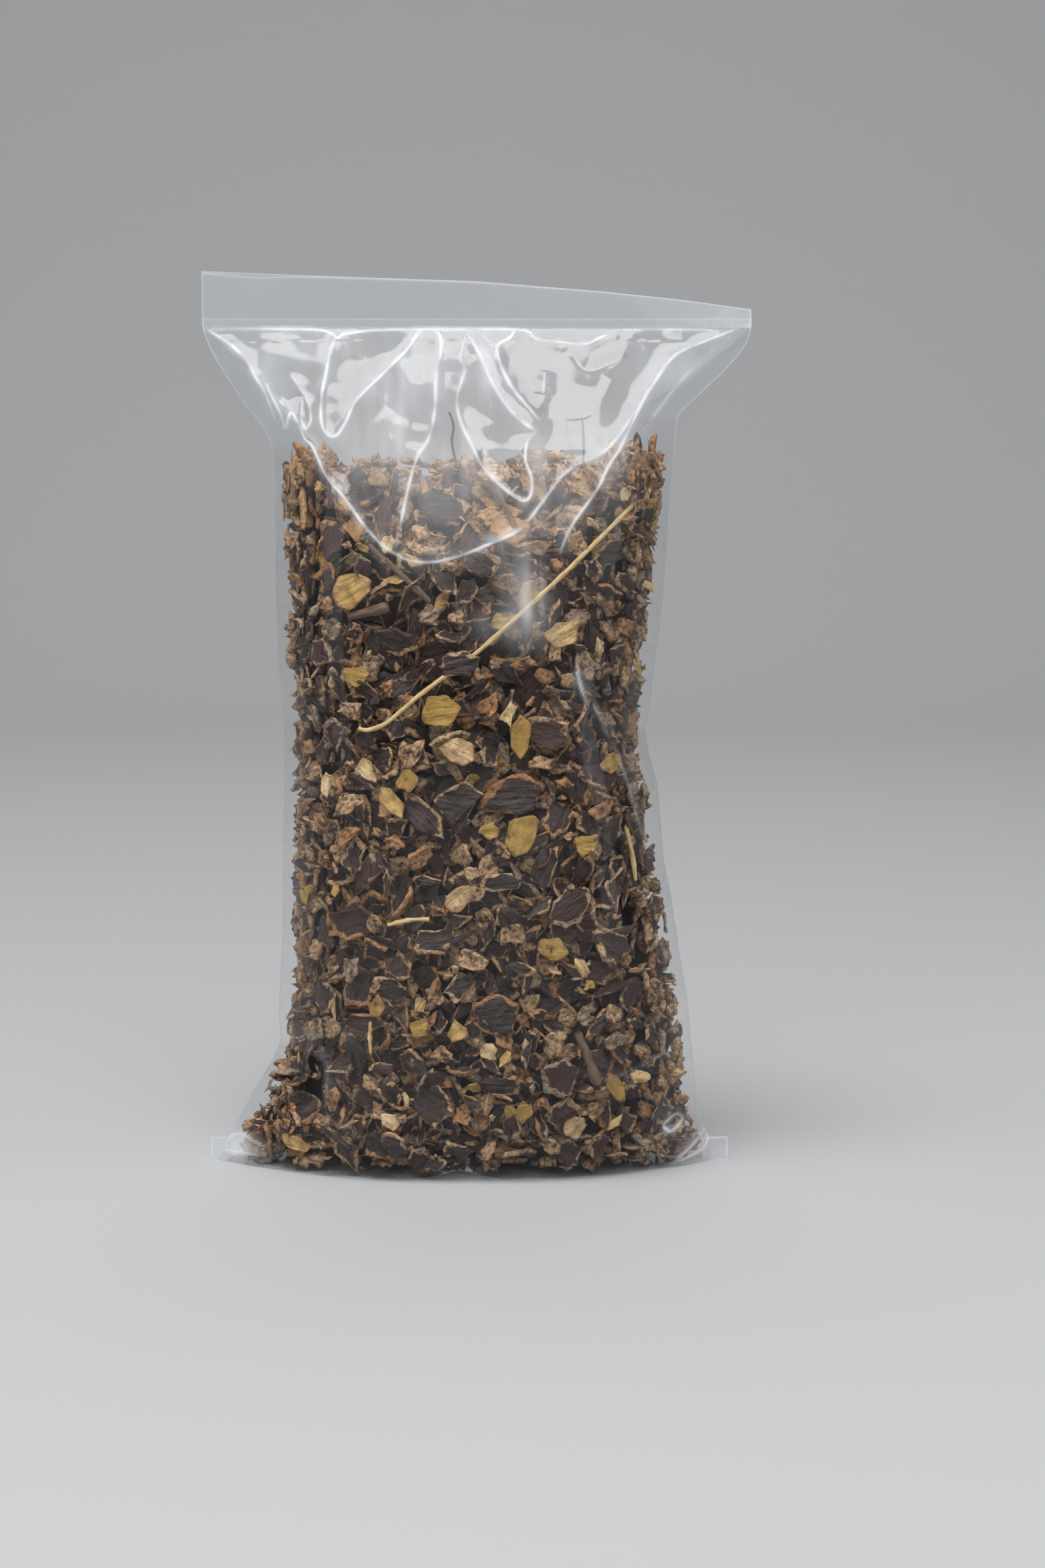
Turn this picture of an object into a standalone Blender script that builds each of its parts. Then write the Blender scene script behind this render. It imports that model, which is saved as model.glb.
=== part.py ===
"""A clear film bag, heat-sealed and standing upright, filled with kibbled carob pod.

The bag is a flat tube of film, 130 mm wide before it was filled. Its bottom weld lies along
the ground, with an ear at each end, and its top is sealed below an open header.
Inside stand the pod pieces: one heap of dark husk plates, the pale flakes that lie on it
behind the film, one long straw, and a few twigs and stalks.
X runs across the front, -Y is the front, and the ground is z = 0.
"""

import math
import random

import bmesh
import bpy
import numpy as np
from mathutils import Matrix, Vector

MM = 0.001
SEED = 41

# Driving dimensions of the bag, in mm.
FLAT_WIDTH = 130.0
FILM_WALL = 0.65
FOLD_WALL = 0.8
EDGE_HALF_THICKNESS = 0.35
HEADER_END_WALL = 0.5
FLOOR_THICKNESS = 0.7
SEAL_BOTTOM = 200.9
SEAL_TOP = 203.2
THROAT_HALF_WIDTH = 4.0
THROAT_HALF_GAP = 0.12
MOUTH_HALF_GAP = 0.65
RING_POINTS_PER_SIDE = 16
SLOPE_STEP = 0.4
FOLD_CLEARANCE = 2.0

# Film outline seen from the front: (height, x) up the left edge and up the right edge.
LEFT_EDGE = [
    (0.0, -63.6), (5.1, -60.9), (10.8, -58.1), (16.4, -55.0), (22.8, -51.1), (28.9, -47.9),
    (37.0, -48.3), (53.2, -47.3), (77.4, -46.9), (95.1, -46.5), (108.6, -46.5), (120.0, -47.6),
    (138.0, -48.2), (167.8, -48.3), (173.5, -49.0), (177.5, -50.6), (182.0, -54.6),
    (189.6, -59.5), (195.3, -63.0), (SEAL_BOTTOM, -65.0),
]
RIGHT_EDGE = [
    (0.0, 57.3), (4.4, 56.7), (7.3, 55.3), (10.8, 53.2), (17.9, 52.9), (28.4, 51.8), (39.0, 50.8),
    (49.6, 49.0), (58.8, 47.6), (67.3, 46.2), (73.9, 44.8), (91.5, 43.4), (99.3, 41.3),
    (105.0, 40.2), (108.6, 41.0), (119.7, 42.3), (133.8, 44.1), (158.0, 45.8), (180.4, 47.6),
    (188.2, 56.0), (193.1, 60.9), (197.1, 64.0), (SEAL_BOTTOM, 65.0),
]
# Half the depth of the filled body at each height, and how square its section is there.
HALF_DEPTH = [
    (0.0, 21.0), (2.0, 23.8), (6.0, 25.8), (12.0, 27.2), (25.0, 28.0), (60.0, 28.4),
    (100.0, 27.6), (138.0, 26.0), (SEAL_BOTTOM, 25.0),
]
SQUARENESS = [
    (0.0, 2.3), (12.0, 3.2), (25.0, 4.0), (60.0, 4.4), (150.0, 4.2), (170.0, 3.6), (182.0, 2.3),
    (190.0, 1.9), (SEAL_BOTTOM, 1.6),
]
# Above the fill, the front and the back lean together in two flat planes that meet at the seal.
LEAN_SLOPE = 0.47
BODY_ROWS = [
    0.0, 2.0, 5.5, 11.0, 17.5, 24.0, 31.0, 42.0, 56.0, 70.0, 82.0, 93.0, 105.0, 117.0, 131.0,
    144.0, 151.0, 160.0, 169.0, 177.0, 183.0, 189.0, 195.0, 198.8, SEAL_BOTTOM,
]
# The cut edge of the header slopes down to the right: (x, height).
HEADER_EDGE = [
    (-65.0, 214.2), (-35.0, 213.0), (0.0, 211.8), (30.0, 209.4), (49.0, 207.4), (65.0, 205.2),
]
HEADER_SHARES = (0.04, 0.35, 0.7, 1.0)
HEADER_RIGHT_LEAN = 3.0
# The skirt is the film below the bottom weld; it stands up beside each ear.
SKIRT_HEIGHT = 5.6
SKIRT_HALF_THICKNESS = 0.35
SKIRT_LEFT = (-65.0, -61.2)
SKIRT_RIGHT = (55.2, 60.8)

# The heap of pod pieces, in mm.
HEAP_TOP = 171.0
HEAP_CLEARANCE = 0.55
CORE_BACKSET = 7.2
CORE_SIDE_BACKSET = 8.5
CORE_FOOT_BACKSET = 15.0
CORE_LEAST_HALF_DEPTH = 2.5
CORE_ROWS = (2.6, 8.0, 25.0, 56.0, 82.0, 105.0, 131.0, 150.0, 165.0)
CORE_RING_POINTS_PER_SIDE = 8
PLATE_ROW_STEP = 13.2
PLATE_COLUMN_STEP = 14.0
PLATE_LENGTH = (14.0, 20.0)
PLATE_WIDTH = (10.5, 14.5)
PLATE_THICKNESS = (1.8, 3.2)
PLATE_UNDERSIDE = (0.75, 0.95)
PLATE_CORNER_REACH = 1.15
PLATE_CORNER_JITTER = 0.16
PLATE_TILT = math.radians(32.0)
PLATE_JITTER = 2.6
PLATE_BACKSET = 1.6
LOWEST_ROW = 5.5
SIDE_MARGIN = 5.0
AXIS_LOW = 20.0
AXIS_HIGH = 150.0
SIDE_PLATE_MARGIN = 8.0
SETTLE_TRIES = 40
SETTLE_STEP = 0.05
SETTLE_TO_MIDDLE = 0.2
TOP_COLUMNS = 9
TOP_LINES = 3
TOP_LINE_STEP = 11.0
TOP_JITTER = 2.0
TOP_DEPTH = (1.0, 5.0)

# Pale flakes on the front: (x, height, length, width, turn in degrees), in mm.
FLAKE_THICKNESS = 0.9
FLAKE_COVER = 0.5
FLAKE_SIDES = 9
FLAKE_RAGGED = 0.12
FLAKES = [
    (-29.8, 140.0, 11.0, 9.0, 35), (20.0, 130.2, 10.5, 6.0, 30), (-28.0, 120.5, 7.0, 4.5, -5),
    (-8.6, 112.0, 9.5, 7.5, 5), (-4.0, 103.6, 8.5, 6.0, -30), (10.4, 105.8, 10.5, 5.5, 84),
    (-26.0, 98.8, 6.5, 4.5, -40), (-16.0, 96.3, 6.5, 5.0, 60), (-19.8, 91.6, 8.5, 4.5, -58),
    (32.0, 99.8, 5.5, 4.5, 20), (11.2, 83.6, 9.0, 8.0, 70), (3.4, 84.6, 5.0, 4.2, 10),
    (26.0, 80.6, 6.0, 5.0, 0), (-4.0, 68.6, 7.0, 5.0, 40), (17.6, 56.6, 7.0, 5.5, -10),
    (-23.8, 42.2, 5.5, 4.0, 80), (-14.0, 37.8, 5.0, 4.2, 15), (-4.2, 36.9, 6.0, 5.0, 30),
    (2.6, 32.4, 5.0, 4.4, 60), (33.4, 22.3, 9.0, 3.4, -60), (-45.0, 7.4, 8.5, 4.0, -12),
    (23.0, 13.2, 7.0, 5.5, 40),
]
# Straws, stalks and twigs: name, radius, colour, and the run as (x, height, depth below the film).
STALKS = [
    ("long_straw", 0.62, "straw", [
        (38.4, 159.6, 2.4), (29.5, 152.3, 1.8), (20.0, 143.9, 1.5), (10.0, 135.0, 1.3),
        (0.6, 126.7, 1.5), (-4.2, 122.9, 2.4), (-8.6, 119.9, 1.5), (-14.0, 115.8, 1.3),
        (-21.0, 110.0, 1.3), (-25.6, 108.2, 1.3), (-28.0, 108.4, 1.5)]),
    ("stalk_upper_left", 0.8, "twig", [
        (-25.5, 151.4, 2.4), (-18.0, 144.9, 2.0), (-10.6, 138.0, 1.7)]),
    ("stalk_upper_middle", 0.65, "twig", [
        (4.5, 165.0, 1.7), (7.0, 160.0, 1.6), (9.6, 154.4, 1.7)]),
    ("twig_left", 1.2, "twig", [
        (-31.5, 134.4, 3.6), (-26.0, 135.6, 3.3), (-20.7, 136.9, 2.2)]),
    ("twig_low_right", 1.2, "twig", [
        (24.2, 36.4, 2.2), (26.9, 29.9, 2.1), (29.4, 23.4, 2.2)]),
    ("straw_low_left", 0.45, "straw", [
        (-25.4, 39.0, 1.1), (-25.6, 35.0, 1.1), (-25.4, 31.2, 1.1)]),
    ("straw_middle_left", 0.55, "straw", [
        (-21.0, 62.3, 1.2), (-16.0, 63.6, 1.2), (-11.0, 63.9, 1.2)]),
    ("straw_right", 0.6, "straw", [
        (36.4, 83.8, 1.3), (37.9, 77.6, 1.3), (38.8, 71.0, 1.3)]),
]
STALK_SIDES = 7
# Room left in the heap round a flake or stalk, and how far its pocket is cut past the heap.
CLEAR_GAP = 0.4
POCKET_OVERCUT = 1.0

COLOURS = {
    "film": (0.86, 0.88, 0.90),
    "husk": (0.075, 0.046, 0.035),
    "flake": (0.42, 0.27, 0.09),
    "straw": (0.70, 0.49, 0.20),
    "twig": (0.20, 0.13, 0.085),
}


def clear_scene():
    for existing in list(bpy.data.objects):
        bpy.data.objects.remove(existing, do_unlink=True)


def read_curve(points, at):
    """Value at a place along hand-set (place, value) points."""
    places, values = zip(*points)
    return float(np.interp(at, places, values))


def span_at(z):
    """Middle and half width of the bag at a height."""
    left = read_curve(LEFT_EDGE, z)
    right = read_curve(RIGHT_EDGE, z)
    return (left + right) / 2, (right - left) / 2


def swell_at(x, z, backset, side_backset):
    """Half the depth of the filled body, less any backset: rounded below, flat planes above."""
    middle, half_width = span_at(z)
    reach = abs((x - middle) / (half_width - side_backset))
    rounded = (read_curve(HALF_DEPTH, z) - backset) * (1 - reach ** read_curve(SQUARENESS, z))
    return min(rounded, LEAN_SLOPE * (SEAL_BOTTOM - z) - backset)


def outer_half_depth(x, z):
    return EDGE_HALF_THICKNESS + max(swell_at(x, z, 0.0, 0.0), 0.0)


def inner_half_depth(x, z, backset=0.0, side_backset=0.0):
    """Half the depth of the space inside the film, less any backset."""
    wall = FILM_WALL - EDGE_HALF_THICKNESS
    return swell_at(x, z, wall + backset, FOLD_WALL + side_backset)


def even_columns(count):
    """Stations from -1 to 1 that crowd towards the two side folds."""
    return [math.sin(math.pi / 2 * (2 * i / (count - 1) - 1)) for i in range(count)]


def ring(middle, half_width, depth_at, height_at, count, lean_at=None):
    """Points round one section: along the front from left to right, then along the back."""
    stations = even_columns(count)
    points = []
    for side, order in ((-1, stations), (1, list(reversed(stations)))):
        for s in order:
            x = middle + half_width * s
            lean = lean_at(x) if lean_at else 0.0
            points.append((x, side * depth_at(x) + lean, height_at(x)))
    return points


def skin_rings(bm, rings, flip=False):
    """Triangles between neighbouring rings, cut the same way on every skin; returns the rows."""
    rows = [[bm.verts.new(Vector(p) * MM) for p in points] for points in rings]
    for low, high in zip(rows, rows[1:]):
        for i in range(len(low)):
            j = (i + 1) % len(low)
            for corners in ([low[i], low[j], high[j]], [low[i], high[j], high[i]]):
                bm.faces.new(list(reversed(corners)) if flip else corners)
    return rows


def cap_between_sides(bm, row, flip=False):
    """Close a ring with quads that join its front to its back."""
    count = len(row) // 2
    front = row[:count]
    back = list(reversed(row[count:]))
    for i in range(count - 1):
        corners = [front[i], back[i], back[i + 1], front[i + 1]]
        bm.faces.new(list(reversed(corners)) if flip else corners)


def header_height(x, share):
    """Height on the header, from the top of the seal (0) to the cut edge (1)."""
    return SEAL_TOP + (read_curve(HEADER_EDGE, x) - SEAL_TOP) * share


def header_lean(share):
    """The header's right end leans back, more towards its cut edge."""
    def lean(x):
        return HEADER_RIGHT_LEAN * share * max(0.0, x / (FLAT_WIDTH / 2)) ** 3
    return lean


def film_rings(inside):
    """Sections of the film's outer or inner surface, from the floor to the cut edge."""
    rings = []
    half_flat = FLAT_WIDTH / 2
    for z in BODY_ROWS:
        middle, half_width = span_at(z)
        if not inside:
            rings.append(ring(middle, half_width, lambda x: outer_half_depth(x, z),
                              lambda x: z, RING_POINTS_PER_SIDE))
        elif z < SEAL_BOTTOM:
            inset = half_width / (half_width - FOLD_WALL)
            rings.append(ring(middle, half_width - FOLD_WALL,
                              lambda x: max(outer_half_depth(middle + (x - middle) * inset, z)
                                            - FILM_WALL, THROAT_HALF_GAP),
                              lambda x: max(z, FLOOR_THICKNESS), RING_POINTS_PER_SIDE))
    for level in (SEAL_BOTTOM, SEAL_TOP):
        if inside:
            rings.append(ring(0.0, THROAT_HALF_WIDTH, lambda x: THROAT_HALF_GAP,
                              lambda x: level, RING_POINTS_PER_SIDE))
        elif level == SEAL_TOP:
            rings.append(ring(0.0, half_flat, lambda x: EDGE_HALF_THICKNESS,
                              lambda x: level, RING_POINTS_PER_SIDE))
    for share in HEADER_SHARES:
        gap = THROAT_HALF_GAP + (MOUTH_HALF_GAP - THROAT_HALF_GAP) * share
        wall = 0 if inside else EDGE_HALF_THICKNESS
        end_wall = HEADER_END_WALL if inside else 0
        rings.append(ring(0.0, half_flat - end_wall, lambda x: gap + wall,
                          lambda x: header_height(x, share), RING_POINTS_PER_SIDE,
                          header_lean(share)))
    return rings


def make_object(name, bm, colour, smooth=False):
    bmesh.ops.recalc_face_normals(bm, faces=bm.faces)
    mesh = bpy.data.meshes.new(name)
    bm.to_mesh(mesh)
    bm.free()
    if smooth:
        mesh.shade_smooth()
    obj = bpy.data.objects.new(name, mesh)
    bpy.context.scene.collection.objects.link(obj)
    obj.data.materials.append(material(colour))
    return obj


def material(kind):
    found = bpy.data.materials.get(kind)
    if found:
        return found
    made = bpy.data.materials.new(kind)
    made.use_nodes = True
    shader = made.node_tree.nodes["Principled BSDF"]
    shader.inputs["Base Color"].default_value = (*COLOURS[kind], 1)
    shader.inputs["Roughness"].default_value = 0.12 if kind == "film" else 0.7
    shader.inputs["Alpha"].default_value = 0.25 if kind == "film" else 1.0
    return made


def make_film():
    """One closed shell: outer skin, inner skin, and the rim of the open header."""
    bm = bmesh.new()
    outer = skin_rings(bm, film_rings(inside=False))
    inner = skin_rings(bm, film_rings(inside=True), flip=True)
    cap_between_sides(bm, outer[0])
    cap_between_sides(bm, inner[0], flip=True)
    rim_out, rim_in = outer[-1], inner[-1]
    for i in range(len(rim_out)):
        j = (i + 1) % len(rim_out)
        bm.faces.new([rim_out[i], rim_out[j], rim_in[j], rim_in[i]])
    film = make_object("bag_film", bm, "film", smooth=True)
    for span in (SKIRT_LEFT, SKIRT_RIGHT):
        boolean_and_apply(film, [skirt_flap(span)], "UNION")
    return film


def skirt_flap(span):
    """The upright strip of film beyond the bottom weld at one ear."""
    bm = bmesh.new()
    bmesh.ops.create_cube(bm, size=1.0)
    low, high = span
    for v in bm.verts:
        v.co.x = (low + high) / 2 * MM + v.co.x * (high - low) * MM
        v.co.y = v.co.y * 2 * SKIRT_HALF_THICKNESS * MM
        v.co.z = (v.co.z + 0.5) * SKIRT_HEIGHT * MM
    return make_object("skirt", bm, "film")


def boolean_and_apply(target, others, operation):
    """One Boolean of a collection with the target, applied; the others are then removed."""
    group = bpy.data.collections.new("operands")
    bpy.context.scene.collection.children.link(group)
    for obj in others:
        bpy.context.scene.collection.objects.unlink(obj)
        group.objects.link(obj)
    boolean = target.modifiers.new("boolean", "BOOLEAN")
    boolean.operation = operation
    boolean.operand_type = "COLLECTION"
    boolean.collection = group
    boolean.solver = "EXACT"
    boolean.use_self = True
    bpy.context.view_layer.update()
    graph = bpy.context.evaluated_depsgraph_get()
    result = bpy.data.meshes.new_from_object(target.evaluated_get(graph))
    target.modifiers.remove(boolean)
    old = target.data
    target.data = result
    bpy.data.meshes.remove(old)
    for obj in list(group.objects):
        bpy.data.objects.remove(obj, do_unlink=True)
    bpy.data.collections.remove(group)


def keep_largest_body(obj):
    """Drop loose scraps, so that the heap is one closed body."""
    bm = bmesh.new()
    bm.from_mesh(obj.data)
    unseen = set(bm.verts)
    bodies = []
    while unseen:
        start = unseen.pop()
        body = {start}
        front = [start]
        while front:
            v = front.pop()
            for edge in v.link_edges:
                other = edge.other_vert(v)
                if other in unseen:
                    unseen.discard(other)
                    body.add(other)
                    front.append(other)
        bodies.append(body)
    largest = max(bodies, key=len)
    loose = [v for body in bodies if body is not largest for v in body]
    bmesh.ops.delete(bm, geom=loose, context="VERTS")
    bm.to_mesh(obj.data)
    bm.free()


def wall_slopes(x, z, backset=0.0, side_backset=0.0):
    """How fast the half depth changes across the bag and up it."""
    beside = [inner_half_depth(x + step, z, backset, side_backset)
              for step in (SLOPE_STEP, -SLOPE_STEP)]
    above = [inner_half_depth(x, z + step, backset, side_backset)
             for step in (SLOPE_STEP, -SLOPE_STEP)]
    return ((beside[0] - beside[1]) / (2 * SLOPE_STEP), (above[0] - above[1]) / (2 * SLOPE_STEP))


def wall_frame(x, z, side, backset=0.0, side_backset=0.0):
    """A point on the inner face of the film, with its outward, across and up directions."""
    depth = inner_half_depth(x, z, backset, side_backset)
    slope_x, slope_z = wall_slopes(x, z, backset, side_backset)
    outward = Vector((-slope_x, side, -slope_z)).normalized()
    across = Vector((1, 0, 0)) - outward * outward.x
    across.normalize()
    return Vector((x, side * depth, z)), outward, across, outward.cross(across)


def room_inside(p):
    """About how far a point is from the inner face of the film (below zero is outside)."""
    if p.z < FLOOR_THICKNESS:
        return p.z - FLOOR_THICKNESS
    middle, half_width = span_at(p.z)
    to_fold = half_width - FOLD_CLEARANCE - abs(p.x - middle)
    if to_fold < 0:
        return to_fold
    slope_x, slope_z = wall_slopes(p.x, p.z)
    to_wall = (inner_half_depth(p.x, p.z) - abs(p.y)) / math.sqrt(1 + slope_x ** 2 + slope_z ** 2)
    return min(to_wall, p.z - FLOOR_THICKNESS)


def plate_points(rng):
    """Corner points of one husk plate, thick in the middle and torn to an uneven outline."""
    length = rng.uniform(*PLATE_LENGTH)
    width = rng.uniform(*PLATE_WIDTH)
    thickness = rng.uniform(*PLATE_THICKNESS)
    sides = rng.choice((4, 4, 5))
    turn = rng.uniform(0, math.tau)
    points = []
    for level, scale in ((-0.5, rng.uniform(*PLATE_UNDERSIDE)), (0.5, 1.0)):
        for i in range(sides):
            jitter = rng.uniform(-PLATE_CORNER_JITTER, PLATE_CORNER_JITTER)
            angle = turn + math.tau * (i + jitter) / sides
            points.append(Vector((length / 2 * scale * math.cos(angle) * PLATE_CORNER_REACH,
                                  width / 2 * scale * math.sin(angle) * PLATE_CORNER_REACH,
                                  thickness * level)))
    return points, sides


def prism(name, points, sides, colour):
    """A solid from a bottom outline and a top outline with the same number of corners."""
    bm = bmesh.new()
    verts = [bm.verts.new(p * MM) for p in points]
    bm.faces.new(list(reversed(verts[:sides])))
    bm.faces.new(verts[sides:])
    for i in range(sides):
        j = (i + 1) % sides
        bm.faces.new([verts[i], verts[j], verts[sides + j], verts[sides + i]])
    bmesh.ops.triangulate(bm, faces=bm.faces)
    return make_object(name, bm, colour)


def settle(points, inward):
    """Push a plate inwards until all its corners are clear of the film."""
    moved = [p.copy() for p in points]
    for _ in range(SETTLE_TRIES):
        short = HEAP_CLEARANCE - min(room_inside(p) for p in moved)
        if short <= 0:
            return moved
        moved = [p + inward * (short + SETTLE_STEP) for p in moved]
    return None


def plate_at(rng, spot, outward, across, up, count):
    """One husk plate lying against the film with a random tilt."""
    points, sides = plate_points(rng)
    tilt = Matrix.Rotation(rng.uniform(-PLATE_TILT, PLATE_TILT), 3, across)
    tilt = tilt @ Matrix.Rotation(rng.uniform(-PLATE_TILT, PLATE_TILT), 3, up)
    tilt = tilt @ Matrix.Rotation(rng.uniform(0, math.pi), 3, outward)
    laid = [spot + tilt @ (across * p.x + up * p.y + outward * p.z) for p in points]
    middle = Vector((0, 0, min(max(spot.z, AXIS_LOW), AXIS_HIGH)))
    inward = (middle - spot).normalized() * SETTLE_TO_MIDDLE - outward * (1 - SETTLE_TO_MIDDLE)
    settled = settle(laid, inward.normalized())
    if settled is None:
        return None
    return prism("plate_%03d" % count, settled, sides, "husk")


def section_stations(z):
    """Places about one plate apart along the front or back of a section, as x values."""
    middle, half_width = span_at(z)
    reach = half_width - SIDE_MARGIN
    xs = np.linspace(middle - reach, middle + reach, 121)
    runs = [0.0]
    for a, b in zip(xs, xs[1:]):
        rise = inner_half_depth(b, z) - inner_half_depth(a, z)
        runs.append(runs[-1] + math.hypot(b - a, rise))
    count = max(2, round(runs[-1] / PLATE_COLUMN_STEP))
    return [float(np.interp(runs[-1] * (k + 0.5) / count, runs, xs)) for k in range(count)]


def plate_rows():
    """Heights of the rows of plates, from the floor to the top of the heap."""
    return np.arange(LOWEST_ROW, HEAP_TOP - LOWEST_ROW / 2, PLATE_ROW_STEP)


def wall_plates(rng):
    """Plates in rows behind the film, front and back."""
    plates = []
    for z in plate_rows():
        for side in (-1, 1):
            for x in section_stations(z):
                spot_z = z + rng.uniform(-PLATE_JITTER, PLATE_JITTER)
                spot_x = x + rng.uniform(-PLATE_JITTER, PLATE_JITTER)
                spot, outward, across, up = wall_frame(spot_x, spot_z, side, PLATE_BACKSET,
                                                       PLATE_BACKSET)
                plates.append(plate_at(rng, spot, outward, across, up, len(plates)))
    return [p for p in plates if p]


def side_plates(rng, start):
    """Plates that fill the two narrow sides, facing outwards."""
    plates = []
    for row in plate_rows():
        z = row + rng.uniform(0, PLATE_JITTER)
        middle, half_width = span_at(z)
        for side in (-1, 1):
            spot = Vector((middle + side * (half_width - SIDE_PLATE_MARGIN),
                           rng.uniform(-PLATE_JITTER, PLATE_JITTER), z))
            plates.append(plate_at(rng, spot, Vector((side, 0, 0)), Vector((0, side, 0)),
                                   Vector((0, 0, 1)), start + len(plates)))
    return [p for p in plates if p]


def top_plates(rng, start):
    """Plates lying on top of the heap."""
    plates = []
    middle, half_width = span_at(HEAP_TOP)
    reach = half_width - 2 * SIDE_MARGIN
    for column in range(TOP_COLUMNS):
        for line in range(TOP_LINES):
            x = middle + reach * (2 * column / (TOP_COLUMNS - 1) - 1)
            x += rng.uniform(-TOP_JITTER, TOP_JITTER)
            y = (line - (TOP_LINES - 1) / 2) * TOP_LINE_STEP
            y += rng.uniform(-TOP_JITTER, TOP_JITTER)
            level = HEAP_TOP - rng.uniform(*TOP_DEPTH)
            plates.append(plate_at(rng, Vector((x, y, level)), Vector((0, 0, 1)),
                                   Vector((1, 0, 0)), Vector((0, 1, 0)), start + len(plates)))
    return [p for p in plates if p]


def make_core():
    """The hidden middle of the heap, which the plates stand out of."""
    rings = []
    for z in CORE_ROWS:
        middle, half_width = span_at(z)
        side = CORE_FOOT_BACKSET if z == CORE_ROWS[0] else CORE_SIDE_BACKSET
        rings.append(ring(middle, half_width - side,
                          lambda x: CORE_LEAST_HALF_DEPTH + max(
                              inner_half_depth(x, z, CORE_BACKSET, side - FOLD_WALL), 0.0),
                          lambda x: z, CORE_RING_POINTS_PER_SIDE))
    bm = bmesh.new()
    rows = skin_rings(bm, rings)
    cap_between_sides(bm, rows[0])
    cap_between_sides(bm, rows[-1], flip=True)
    bmesh.ops.triangulate(bm, faces=bm.faces)
    return make_object("pod_kibble", bm, "husk")


def flake_outline(rng, length, width, turn, grow):
    outline = []
    phase = rng.uniform(0, math.tau)
    for i in range(FLAKE_SIDES):
        angle = math.tau * i / FLAKE_SIDES
        ragged = 1 + FLAKE_RAGGED * math.sin(3 * angle + phase)
        along = (length / 2 * ragged + grow) * math.cos(angle)
        over = (width / 2 * ragged + grow) * math.sin(angle)
        outline.append((along * math.cos(turn) - over * math.sin(turn),
                        along * math.sin(turn) + over * math.cos(turn)))
    return outline


def flake_solid(name, seed, spec, grow, cover, thickness):
    """A thin leaf that follows the film, with its outer face a set depth below it."""
    x0, z0, length, width, turn = spec
    outline = flake_outline(random.Random(seed), length, width, math.radians(turn), grow)
    points = []
    for depth in (cover + thickness, cover):
        for dx, dz in outline:
            spot, outward, _, _ = wall_frame(x0 + dx, z0 + dz, -1)
            points.append(spot - outward * depth)
    return prism(name, points, FLAKE_SIDES, "flake")


def make_flakes():
    """The pale flakes, and the pockets that they lie in."""
    pockets = []
    for k, spec in enumerate(FLAKES):
        seed = SEED * 100 + k
        flake_solid("flake_%02d" % (k + 1), seed, spec, 0.0, FLAKE_COVER, FLAKE_THICKNESS)
        pockets.append(flake_solid("pocket_%02d" % k, seed, spec, CLEAR_GAP,
                                   FLAKE_COVER - POCKET_OVERCUT,
                                   FLAKE_THICKNESS + POCKET_OVERCUT + CLEAR_GAP))
    return pockets


def smooth_run(run, steps):
    """Points along a smooth curve through the run's own points."""
    padded = [run[0]] + list(run) + [run[-1]]
    points = []
    for k in range(1, len(padded) - 2):
        a, b, c, d = (np.array(p) for p in padded[k - 1:k + 3])
        for i in range(steps):
            t = i / steps
            points.append(0.5 * (2 * b + (c - a) * t + (2 * a - 5 * b + 4 * c - d) * t ** 2
                                 + (3 * b - a - 3 * c + d) * t ** 3))
    points.append(np.array(run[-1]))
    return points


def stalk_solid(name, radius, colour, run, grow):
    """A round stalk along its run, a set depth below the film."""
    path = []
    for x, z, depth in smooth_run(run, 2):
        spot, outward, _, _ = wall_frame(x, z, -1)
        path.append(spot - outward * depth)
    if grow:
        path[0] += (path[0] - path[1]).normalized() * grow
        path[-1] += (path[-1] - path[-2]).normalized() * grow
    bm = bmesh.new()
    rows = []
    for k, point in enumerate(path):
        along = (path[min(k + 1, len(path) - 1)] - path[max(k - 1, 0)]).normalized()
        side = along.cross(Vector((0, 1, 0))).normalized()
        other = along.cross(side)
        rows.append([bm.verts.new((point + (radius + grow) * (
            side * math.cos(math.tau * i / STALK_SIDES)
            + other * math.sin(math.tau * i / STALK_SIDES))) * MM) for i in range(STALK_SIDES)])
    for low, high in zip(rows, rows[1:]):
        for i in range(STALK_SIDES):
            j = (i + 1) % STALK_SIDES
            bm.faces.new([low[i], low[j], high[j], high[i]])
    bm.faces.new(list(reversed(rows[0])))
    bm.faces.new(rows[-1])
    bmesh.ops.triangulate(bm, faces=bm.faces)
    return make_object(name, bm, colour)


def make_stalks():
    """The straws, stalks and twigs, and the grooves that they lie in."""
    grooves = []
    for name, radius, colour, run in STALKS:
        stalk_solid(name, radius, colour, run, 0.0)
        grooves.append(stalk_solid("groove_" + name, radius, colour, run, CLEAR_GAP))
    return grooves


def make_heap(pockets):
    """The husk plates fused to their core, with room left for the flakes and stalks."""
    rng = random.Random(SEED)
    heap = make_core()
    plates = wall_plates(rng)
    plates += side_plates(rng, len(plates))
    plates += top_plates(rng, len(plates))
    boolean_and_apply(heap, plates, "UNION")
    boolean_and_apply(heap, pockets, "DIFFERENCE")
    keep_largest_body(heap)
    return heap


clear_scene()
make_film()
make_heap(make_flakes() + make_stalks())
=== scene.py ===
"""Looks of a clear, heat-sealed film bag filled with kibbled carob pod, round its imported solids.

Lengths are in millimetres up to the last step, where every mesh is scaled to metres.
X runs across the front, -Y is the front, and the ground is z = 0.
"""

import math
from collections import namedtuple

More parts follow.
